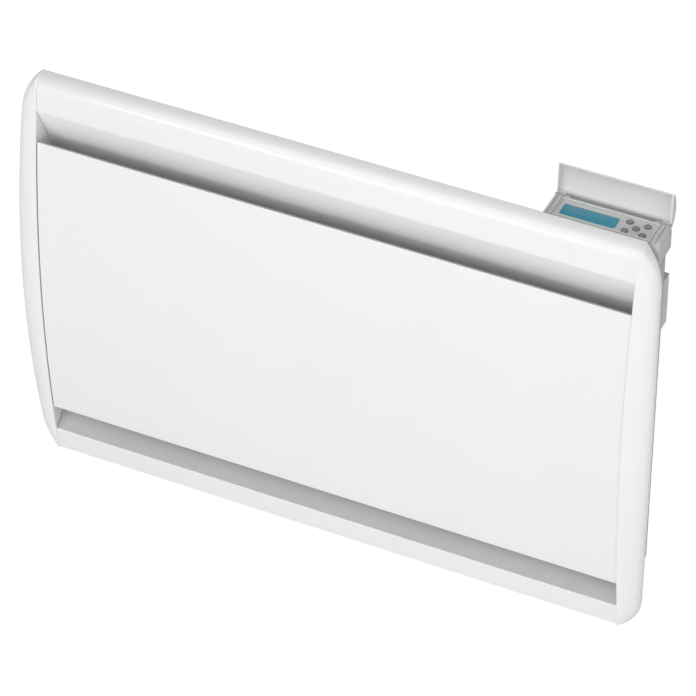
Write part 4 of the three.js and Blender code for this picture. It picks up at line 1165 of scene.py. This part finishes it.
@dataclass
class Controller(Assembly):
    """The level controller: housing, bezel, display plate, window and keys."""

    hinge: Hinge = field(default_factory=Hinge)
    left: float = 189 * MM
    right: float = 293.5 * MM
    front: float = -53.7 * MM
    low: float = 53.3 * MM
    top: float = 77 * MM
    wall: float = 1.6 * MM
    rounding: float = 0.35 * MM
    seat: float = 0.3 * MM
    bezel_depth: float = 2 * MM
    bezel_rear: float = -27.8 * MM
    strip_drop: float = 1 * MM
    strip_depth: float = 3 * MM
    trough_play: float = 0.4 * MM
    trough_sides: int = 48
    eye_rounding: float = 0.25 * MM
    trim: float = 0.6 * MM
    trim_seat: float = 0.05 * MM
    trim_sunk: float = 0.3 * MM
    trim_proud: float = 0.2 * MM
    trim_rounding: float = 0.1 * MM
    grooves: tuple[float, float] = (1.45 * MM, 5.9 * MM)  # out from the plate's ends
    groove_width: float = 0.75 * MM
    groove_depth: float = 1.2 * MM
    groove_rounding: float = 0.12 * MM
    plate: tuple[float, float, float, float] = (197.4 * MM, 283.4 * MM, -51.1 * MM, -29.3 * MM)
    plate_top: float = 76.4 * MM
    plate_wall: float = 1.6 * MM
    plate_rounding: float = 0.18 * MM
    window: tuple[float, float, float, float] = (201.5 * MM, 251 * MM, -49.2 * MM, -34.8 * MM)
    window_corner: tuple[float, float] = (0.8 * MM, 1.8 * MM)  # at the left, at the right
    window_rounding: float = 0.12 * MM
    key_centre: tuple[float, float] = (268 * MM, -41.9 * MM)
    key_spread: tuple[float, float] = (8 * MM, 6.4 * MM)
    key_radius: float = 3.1 * MM
    key_sides: int = 48
    key_hole: tuple[float, float] = (0.25 * MM, 6 * MM)  # its play and the cutter's length
    key_ring: float = 0.85 * MM
    key_rounding: float = 0.15 * MM
    dish_slope: float = 0.2 * MM
    dish_depth: float = 0.25 * MM
    flange_radius: float = 3.6 * MM
    flange_wall: float = 0.7 * MM
    flange_sides: int = 40
    bar_long: float = 1.25 * MM  # half the length of a mark's bar
    bar_short: float = 0.95 * MM
    bar_thin: float = 0.22 * MM
    bar_height: float = 0.18 * MM
    bars_apart: float = 0.55 * MM
    tick_apart: float = 0.5 * MM
    tick_slope: float = 55.0  # degrees
    stroke_slope: float = 45.0

    def build(self) -> None:
        """Builds the fixed pieces, then the keys."""
        self.housing()
        self.bezel()
        self.display_plate()
        self.display_window()
        for mark in Mark:
            self.key(mark)

    def housing(self) -> None:
        """Hollows the housing and gives it the strip and the hinge's eyes behind the bezel."""
        hinge, wall = self.hinge, self.wall
        body_top = self.top - self.bezel_depth - self.seat
        corners = (self.left, self.front, self.low), (self.right, hinge.y, body_top)
        shell = block("controller_shell", *corners)
        cut_with(shell, block(
            "hollow",
            (self.left + wall, self.front + wall, self.low + wall),
            (self.right - wall, self.bezel_rear - wall, body_top + BEYOND),
        ))
        unite(shell, block(
            "strip",
            (self.left, self.bezel_rear + self.seat, body_top - self.strip_depth),
            (self.right, hinge.y, self.top - self.strip_drop),
        ))
        relief = hinge.radius + self.trough_play
        for x0, x1 in hinge.outside(self.left - BEYOND, self.right + BEYOND):
            middle = ((x0 + x1) / 2, hinge.y, hinge.z)
            cut_with(shell, drum("trough", "x", middle, relief, x1 - x0, self.trough_sides))
        soften(shell, self.rounding)
        for x in hinge.eyes:
            shell = join("controller_shell", shell, self.eye((x, hinge.y, hinge.z)))
        smooth(shell)
        # The housing takes a darkened grey as painted shade, and the strip's top a darker painted shade
        # from the open lid above it.
        dress(shell, HOUSING_PAINTED_SHADE, PAINTED_SHADE_GREY)
        paint(shell, 1, lambda face: face.normal.z > FACING and face.center.y > self.bezel_rear)
        self.install(shell, GREY_PLASTIC, "controller_housing")

    def eye(self, centre: Sequence[float]) -> bpy.types.Object:
        """Turns one of the hinge's eyes and bores it.

        Args:
            centre: The eye's middle.

        Returns:
            The eye.
        """
        hinge = self.hinge
        eye = drum("eye", "x", centre, hinge.radius, hinge.eye_width, hinge.sides)
        cut_with(eye, drum("bore", "x", centre, hinge.bore, hinge.eye_width + BEYOND))
        soften(eye, self.eye_rounding)
        return eye

    def bezel(self) -> None:
        """Cuts the plate's window and the grooves at each side of it into the bezel."""
        x0, x1, y0, y1 = self.plate
        frame = block(
            "controller_frame",
            (self.left, self.front, self.top - self.bezel_depth),
            (self.right, self.bezel_rear, self.top),
        )
        cut_with(frame, block(
            "window",
            (x0 - self.seat, y0 - self.seat, self.top - 2 * self.bezel_depth),
            (x1 + self.seat, y1 + self.seat, self.top + BEYOND),
        ))
        for out in self.grooves:
            for x in (x0 - out, x1 + out):
                self.groove(frame, x)
        soften(frame, self.groove_rounding)
        # The grooves' floors take a darker grey: painted shade in the recesses.
        dress(frame, GREY_PLASTIC, PAINTED_SHADE_GREY)
        half_way = self.top - self.groove_depth / 2
        paint(frame, 1, lambda face: face.normal.z > FACING and face.center.z < half_way)
        frame = join("controller_frame", self.trim_ring(), frame)
        smooth(frame)
        self.install(frame, GREY_PLASTIC, "controller_bezel")

    def groove(self, frame: bpy.types.Object, x: float) -> None:
        """Cuts a groove across the bezel.

        Args:
            frame: The bezel.
            x: The groove's middle.
        """
        half = self.groove_width / 2
        cut_with(frame, block(
            "groove",
            (x - half, self.front - BEYOND, self.top - self.groove_depth),
            (x + half, self.bezel_rear + BEYOND, self.top + BEYOND),
        ))

    def trim_ring(self) -> bpy.types.Object:
        """Raises the trim line round the display plate, in a lighter grey that paints a highlight on it.

        Returns:
            The trim, dressed.
        """
        x0, x1, y0, y1 = self.plate
        low, high = self.top - self.trim_sunk, self.top + self.trim_proud
        inner = self.seat + self.trim_seat
        outer = inner + self.trim
        ring = block("trim", (x0 - outer, y0 - outer, low), (x1 + outer, y1 + outer, high))
        cut_with(ring, block(
            "trim_hole",
            (x0 - inner, y0 - inner, low - BEYOND),
            (x1 + inner, y1 + inner, high + BEYOND),
        ))
        soften(ring, self.trim_rounding)
        dress(ring, TRIM_PAINTED_HIGHLIGHT)
        return ring

    def window_outline(self, grow: float = 0.0) -> list[Point]:
        """Draws the display window's outline with its cut corners.

        Args:
            grow: How far outside the window it is.

        Returns:
            The outline's points in x and y.
        """
        x0, x1, y0, y1 = self.window
        x0, x1, y0, y1 = x0 - grow, x1 + grow, y0 - grow, y1 + grow
        c, d = self.window_corner
        return [
            (x0 + c, y0), (x1 - d, y0), (x1, y0 + d), (x1, y1 - d),
            (x1 - d, y1), (x0 + c, y1), (x0, y1 - c), (x0, y0 + c),
        ]

    def key_place(self, mark: Mark) -> Point:
        """Middle of a key in x and y."""
        (x, y), (across, back) = self.key_centre, self.key_spread
        return (x + mark.value[0] * across, y + mark.value[1] * back)

    def display_plate(self) -> None:
        """Cuts the window and the keys' holes into the plate."""
        x0, x1, y0, y1 = self.plate
        low, high = self.plate_top - self.plate_wall, self.plate_top
        plate = block("keypad_plate", (x0, y0, low), (x1, y1, high))
        outline = self.window_outline(self.seat)
        cut_with(plate, prism("opening", "z", outline, low - BEYOND, high + BEYOND))
        play, length = self.key_hole
        for mark in Mark:
            middle = (*self.key_place(mark), low)
            cut_with(plate, drum("hole", "z", middle, self.key_radius + play, length, self.key_sides))
        soften(plate, self.plate_rounding)
        self.settle(plate, GREY_PLASTIC, "display_plate")

    def display_window(self) -> None:
        """Lays the blue window into the plate."""
        low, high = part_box("display_window")
        window = prism("blue_window", "z", self.window_outline(), low.z, high.z)
        soften(window, self.window_rounding)
        self.settle(window, DISPLAY_BLUE, "display_window")

    def key(self, mark: Mark) -> None:
        """Turns one key: a flange, a dark ring, a lighter dished middle and its raised mark.

        Args:
            mark: The key.
        """
        node = "button_" + mark.name.lower()
        low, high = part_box(node)
        x, y = self.key_place(mark)
        middle = (x, y, (low.z + high.z) / 2)
        name = "key_" + mark.name.lower()
        cap = drum(name, "z", middle, self.key_radius, high.z - low.z, self.key_sides)
        with editing(cap):
            pick(cap, "faces", lambda face: face.normal.z > FACING)
            bpy.ops.mesh.inset(thickness=self.key_ring, depth=0)
            bpy.ops.mesh.inset(thickness=self.dish_slope, depth=-self.dish_depth)
        dress(cap, DARK_GREY, KEY_MIDDLE)
        half_way = high.z - self.dish_depth / 2
        paint(cap, 1, lambda face: face.normal.z > FACING and face.center.z < half_way)
        soften(cap, self.key_rounding, angle=MOULDED)
        foot = (x, y, low.z + self.flange_wall / 2)
        flange = drum("flange", "z", foot, self.flange_radius, self.flange_wall, self.flange_sides)
        marks = self.bars(mark, high.z - self.dish_depth)
        for piece in (flange, *marks):
            dress(piece, DARK_GREY)
        key = join(name, flange, *marks, cap)
        smooth(key)
        Assembly(node.replace("button", "key"), self.nodes).install(key, DARK_GREY, node)

    def bars(self, mark: Mark, low: float) -> list[bpy.types.Object]:
        """Raises a key's generic mark from short bars.

        Args:
            mark: The key.
            low: The bars' foot.

        Returns:
            The bars.
        """
        long, thin, apart, slope = self.bar_long, self.bar_thin, self.tick_apart, self.tick_slope
        shapes = {  # each bar's middle from the key's, half its length and width, and its turn
            Mark.CENTRE: [(0.0, 0.0, long, thin, 0.0), (0.0, 0.0, thin, long, 0.0)],
            Mark.REAR_LEFT: [(0.0, 0.0, long, thin, 0.0)],
            Mark.REAR_RIGHT: [(side * apart, 0.0, self.bar_short, thin, -side * slope) for side in (-1, 1)],
            Mark.FRONT_LEFT: [(0.0, 0.0, long, thin, self.stroke_slope)],
            Mark.FRONT_RIGHT: [(0.0, side * self.bars_apart, long, thin, 0.0) for side in (1, -1)],
        }
        x, y = self.key_place(mark)
        high = low + self.bar_height
        bars = []
        for dx, dy, half_x, half_y, turn in shapes[mark]:
            cx, cy = x + dx, y + dy
            bar = block("mark", (cx - half_x, cy - half_y, low), (cx + half_x, cy + half_y, high))
            take(bar)
            bpy.ops.transform.rotate(
                value=math.radians(turn), orient_axis="Z", center_override=(cx, cy, low)
            )
            bars.append(bar)
        return bars


@dataclass
class Lid(Assembly):
    """The controller's flip lid, drawn closed round its hinge and turned to its open rest."""

    hinge: Hinge = field(default_factory=Hinge)
    left: float = 188.4 * MM
    right: float = 291.9 * MM
    length: float = 31.2 * MM
    rim: float = 2.9 * MM
    bulge: float = 8.2 * MM
    tail: float = 4.2 * MM
    nose: Point = (3 * MM, 0.75)  # the front curve's handles: back, and a share of the bulge
    brow: Point = (0.55, 1.02)  # shares of the length and the bulge
    crest: float = 0.38  # where the bulge is highest, as a share of the length
    nape: Point = (0.1, 0.95)  # the rear curve's handles: shares of the length and the bulge
    heel: Point = (0.8, 0.6)  # shares of the tail and the bulge
    curve_steps: int = 14
    wall: float = 0.8 * MM
    right_end: float = 1.9 * MM
    left_end: float = 0.8 * MM
    dish_play: float = 2 * MM  # how far the dish's cutter runs out below
    corner_groove: tuple[float, float] = (0.7 * MM, 0.4 * MM)  # width and depth
    open_angle: float = 92.0
    neck: float = 3.9 * MM
    neck_share: float = 0.7
    bore_reach: float = 5.9 * MM
    bore_sides: int = 24
    rounding: float = 0.15 * MM
    rib: tuple[Point, Point] = ((-1.4 * MM, 1.1 * MM), (3.2 * MM, 3.0 * MM))  # y and thickness
    rib_rounding: float = 0.3 * MM
    seat: float = 0.3 * MM
    rim_play: float = 0.1 * MM
    shade_play: float = 0.05 * MM
    shade_level: float = 0.02  # upward part of the normal up to which a face between the ends gets painted shade
    shade_under: float = -0.3  # and up to which one gets it out to the left edge

    def build(self) -> None:
        """Builds the lid's shell, hinge and rib and opens it."""
        shell = self.shell()
        self.barrels(shell)
        soften(shell, self.rounding, angle=MOULDED)
        # The inner side and right end take painted shade, and the hinge side below the rim a darker painted
        # shade.
        dress(shell, WHITE_PLASTIC, LID_PAINTED_SHADE, PAINTED_SHADE_GREY)
        paint(shell, 1, self.in_painted_shade)
        paint(shell, 2, lambda face: face.center.z < self.rim - self.rim_play)
        shell = join("flip_lid", self.hinge_rib(), shell)
        smooth(shell, MOULDED)
        take(shell)
        bpy.ops.transform.rotate(
            value=math.radians(self.open_angle), orient_axis="X", center_override=(0, 0, 0)
        )
        bpy.ops.transform.translate(value=(0, self.hinge.y, self.hinge.z))
        apply_place(shell)
        self.install(shell, WHITE_PLASTIC, "controller_lid")

    def shell(self) -> bpy.types.Object:
        """Hollows the lid and cuts the groove in the corner of its right end.

        Returns:
            The lid without its hinge.
        """
        outer, inner_end = self.outline(), self.right - self.right_end
        width, depth = self.corner_groove
        shell = prism("flip_lid", "x", outer, self.left, self.right)
        cut_with(shell, prism("dish", "x", self.inner(outer), self.left + self.left_end, inner_end))
        groove = self.inner(outer, depth)
        cut_with(shell, prism("corner_groove", "x", groove, inner_end - width, inner_end))
        return shell

    def barrels(self, shell: bpy.types.Object) -> None:
        """Adds the barrels on their necks and bores them for the pins.

        Args:
            shell: The lid to add them to.
        """
        hinge, half = self.hinge, self.neck_share * self.hinge.radius
        for x0, x1 in hinge.outside(self.left, self.right, self.seat):
            unite(shell, block("neck", (x0, -half, 0.0), (x1, half, self.neck)))
            middle = ((x0 + x1) / 2, 0, 0)
            unite(shell, drum("barrel", "x", middle, hinge.radius, x1 - x0, hinge.sides))
        reach = 2 * (hinge.eye_width / 2 + self.bore_reach)
        for x in hinge.eyes:
            cut_with(shell, drum("bore", "x", (x, 0, 0), hinge.bore, reach, self.bore_sides))

    def hinge_rib(self) -> bpy.types.Object:
        """Makes the rib along the lid's inner side, next to the hinge, in a grey of painted shade.

        Returns:
            The rib, dressed.
        """
        (fore, thin), (aft, thick) = self.rib
        outline = [(fore, self.rim), (fore, self.rim + thin), (aft, self.rim + thick), (aft, self.rim)]
        left, right = self.left + self.left_end, self.right - self.right_end
        rib = prism("hinge_rib", "x", outline, left, right)
        soften(rib, self.rib_rounding, segments=3)
        # Its grey is painted shade.
        dress(rib, PAINTED_SHADE_GREY)
        return rib

    def outline(self) -> list[Point]:
        """Draws the closed lid's outer curve.

        Returns:
            Its points in y and z from the hinge, from the front edge over to the tail.
        """
        length, rim, bulge, tail = self.length, self.rim, self.bulge, self.tail
        top = (-length * self.crest, rim + bulge)
        front = (
            (-length, rim),
            (-length + self.nose[0], rim + bulge * self.nose[1]),
            (-length * self.brow[0], rim + bulge * self.brow[1]),
            top,
        )
        rear = (
            top,
            (-length * self.nape[0], rim + bulge * self.nape[1]),
            (tail * self.heel[0], rim + bulge * self.heel[1]),
            (tail, rim),
        )
        return [*curve(front, self.curve_steps), *curve(rear, self.curve_steps)[1:]]

    def inner(self, outer: Sequence[Point], deeper: float = 0.0) -> list[Point]:
        """Draws the dish inside the lid, open below, or a groove deeper than it.

        Args:
            outer: The lid's outer curve.
            deeper: How much deeper than the dish it is.

        Returns:
            The dish's or the groove's outline.
        """
        middle = -self.length / 2
        wall = self.wall - deeper
        shrink = 1 - 2 * wall / self.length
        points = []
        for y, z in outer:
            above = z - self.rim
            floor = self.rim + max(above - wall, 0.0) - (self.dish_play if above <= wall else 0.0)
            points.append((middle + (y - middle) * shrink, floor))
        return points

    def in_painted_shade(self, face: bpy.types.MeshPolygon) -> bool:
        """Says whether a face gets painted shade: the lid's inner side and its right end.

        Args:
            face: A face of the closed lid.

        Returns:
            True on the inner side and on the right end.
        """
        x, up, end = face.center.x, face.normal.z, self.right - self.right_end
        between = self.left + self.shade_play < x < end + self.shade_play
        shaded_inside = between and up < self.shade_level
        return shaded_inside or (up < self.shade_under and x < end) or face.normal.x > FACING


# ----------------------------------------------------------------------------- inner works
@dataclass
class Works(Assembly):
    """Everything carried over from the frame: casing, bracket, heating parts and box."""

    def build(self) -> None:
        """Coats the carried-over nodes."""
        # The casing gets an enamel darkened as painted shade, and the deflector one lightened as painted
        # light.
        self.recoat(CASING_PAINTED_SHADE, "rear_casing")
        self.recoat(DEFLECTOR_PAINTED_LIGHT, "outlet_deflector")
        self.recoat(ALUMINIUM, "heating_element")
        self.recoat(BARE_STEEL, "heat_shield", "box_screw_left", "box_screw_right")
        self.recoat(BARE_STEEL, "hinge_pin_left", "hinge_pin_right")
        for word in ("left", "right"):
            self.recoat(GALVANISED, "element_support_" + word, f"bracket_{word}_upright")
            self.recoat(CERAMIC, "element_bush_" + word)
            self.recoat(BARE_STEEL, f"casing_screw_{word}_upper", f"casing_screw_{word}_lower")
        self.recoat(GALVANISED, "bracket_upper_rail", "bracket_lower_rail")
        self.recoat(BLACK_PLASTIC, "thermal_cutout", "power_relay")
        self.recoat(RED_SLEEVE, "element_lead")
        self.recoat(BLUE_SLEEVE, "cutout_lead")
        self.recoat(BRASS, "earth_stud")
        self.recoat(GREY_PLASTIC, "power_box", "cable_gland")
        self.recoat(CIRCUIT, "power_board", "control_board")
        self.recoat(WHITE_PLASTIC, "terminal_block")
        self.recoat(DARK_GREY, "room_sensor", "display_module")
        self.recoat(SILICONE, "switch_mat")


# ------------------------------------------------------------------------------------ studio
@dataclass(frozen=True)
class Lamp:
    """One soft area lamp."""

    name: str
    place: tuple[float, float, float]
    size: tuple[float, float]
    power: float


@dataclass
class Studio:
    """Pale floor, soft lamps, white surround and the camera."""

    camera_place: tuple[float, float, float] = (1.16836, -2.52121, 2.15716)
    elevation: float = 40.075
    azimuth: float = 25.168
    lens: float = 208.45
    sensor: float = 36.0
    sight: float = 100.0  # how far the camera sees
    aim: tuple[float, float, float] = (0.0, -0.06, -0.13)
    surround: float = 0.29
    surround_lean: float = 0.18  # how much stronger it is at the right, and weaker at the left
    floor_z: float = -0.52
    floor_size: float = 16.0
    floor_tone: float = 0.9
    floor_roughness: float = 0.9
    floor_glow: float = 1.11
    glow_share: float = 0.85  # of the floor that is seen, the rest takes the shadow
    lamps: Sequence[Lamp] = (
        Lamp("high_lamp", (-0.9, -7.1, 6.9), (14.0, 9.0), 610.0),
        Lamp("front_lamp", (-3.0, -9.4, 1.6), (10.0, 0.4), 235.0),
        Lamp("right_lamp", (8.5, -4.6, 1.6), (5.0, 5.0), 150.0),
    )

    def build(self) -> None:
        """Sets up the whole studio."""
        self.camera()
        self.floor()
        self.world()
        for lamp in self.lamps:
            self.hang(lamp)
        bpy.context.scene.view_settings.view_transform = "Standard"

    def camera(self) -> None:
        """Places the camera where the photograph was taken from."""
        data = bpy.data.cameras.new("camera")
        data.lens, data.sensor_width = self.lens, self.sensor
        data.clip_end = self.sight
        camera = bpy.data.objects.new("camera", data)
        camera.location = self.camera_place
        camera.rotation_euler = (math.radians(90 - self.elevation), 0.0, math.radians(self.azimuth))
        bpy.context.scene.collection.objects.link(camera)
        bpy.context.scene.camera = camera

    def hang(self, lamp: Lamp) -> None:
        """Hangs one lamp and aims it at the heater.

        Args:
            lamp: The lamp.
        """
        data = bpy.data.lights.new(lamp.name, "AREA")
        data.shape, data.energy = "RECTANGLE", lamp.power
        data.size, data.size_y = lamp.size
        light = bpy.data.objects.new(lamp.name, data)
        light.location = lamp.place
        way = Vector(self.aim) - Vector(lamp.place)
        light.rotation_euler = way.to_track_quat("-Z", "Y").to_euler()
        bpy.context.scene.collection.objects.link(light)

    def seen_white(self, tree: bpy.types.NodeTree) -> bpy.types.NodeSocket:
        """Adds the test for rays that should find plain white: seen or let through.

        Args:
            tree: The node tree to add it to.

        Returns:
            The test's result, 1 for such a ray.
        """
        path = tree.nodes.new("ShaderNodeLightPath")
        either = tree.nodes.new("ShaderNodeMath")
        either.operation = "MAXIMUM"
        tree.links.new(path.outputs["Is Camera Ray"], either.inputs[0])
        tree.links.new(path.outputs["Is Transmission Ray"], either.inputs[1])
        return either.outputs[0]

    def world(self) -> None:
        """Makes the surround: white to the eye, otherwise a grey light, stronger on the right."""
        world = bpy.data.worlds.new("surround")
        world.use_nodes = True
        tree = world.node_tree
        background = tree.nodes["Background"]
        background.inputs["Color"].default_value = (1.0, 1.0, 1.0, 1.0)
        way = tree.nodes.new("ShaderNodeSeparateXYZ")
        tree.links.new(tree.nodes.new("ShaderNodeTexCoord").outputs["Generated"], way.inputs[0])
        plain = tree.nodes.new("ShaderNodeMapRange")
        plain.inputs["From Min"].default_value = -1.0
        plain.inputs["To Min"].default_value = self.surround - self.surround_lean
        plain.inputs["To Max"].default_value = self.surround + self.surround_lean
        tree.links.new(way.outputs["X"], plain.inputs["Value"])
        strength = tree.nodes.new("ShaderNodeMapRange")
        tree.links.new(plain.outputs["Result"], strength.inputs["To Min"])
        strength.inputs["To Max"].default_value = 1.0
        tree.links.new(self.seen_white(tree), strength.inputs["Value"])
        tree.links.new(strength.outputs["Result"], background.inputs["Strength"])
        bpy.context.scene.world = world

    def floor(self) -> None:
        """Lays the pale floor well below the heater."""
        take()
        bpy.ops.mesh.primitive_plane_add(size=self.floor_size, location=(0.0, 0.0, self.floor_z))
        floor = bpy.context.object
        floor.name = "floor"
        material = bpy.data.materials.new("pale_floor")
        material.use_nodes = True
        tree = material.node_tree
        matt = tree.nodes["Principled BSDF"]
        matt.inputs["Base Color"].default_value = (*grey(self.floor_tone), 1.0)
        matt.inputs["Roughness"].default_value = self.floor_roughness
        glow = tree.nodes.new("ShaderNodeEmission")
        glow.inputs["Strength"].default_value = self.floor_glow
        mix = tree.nodes.new("ShaderNodeMixShader")
        share = tree.nodes.new("ShaderNodeMath")
        share.operation = "MULTIPLY"
        share.inputs[1].default_value = self.glow_share
        tree.links.new(self.seen_white(tree), share.inputs[0])
        tree.links.new(share.outputs[0], mix.inputs[0])
        tree.links.new(matt.outputs[0], mix.inputs[1])
        tree.links.new(glow.outputs[0], mix.inputs[2])
        tree.links.new(mix.outputs[0], tree.nodes["Material Output"].inputs["Surface"])
        floor.data.materials.append(material)


def main() -> None:
    """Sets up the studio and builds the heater's pieces in order."""
    logging.basicConfig(level=logging.INFO, format="%(message)s", stream=sys.stdout)
    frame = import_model()
    nodes = frame["nodes"]
    Studio().build()
    FrontSkins("heater", nodes).build()
    EndCaps("heater", nodes).build()
    Controller("heater", nodes).build()
    Lid("lid", nodes).build()
    Works("heater", nodes).build()


if __name__ == "__main__":
    main()
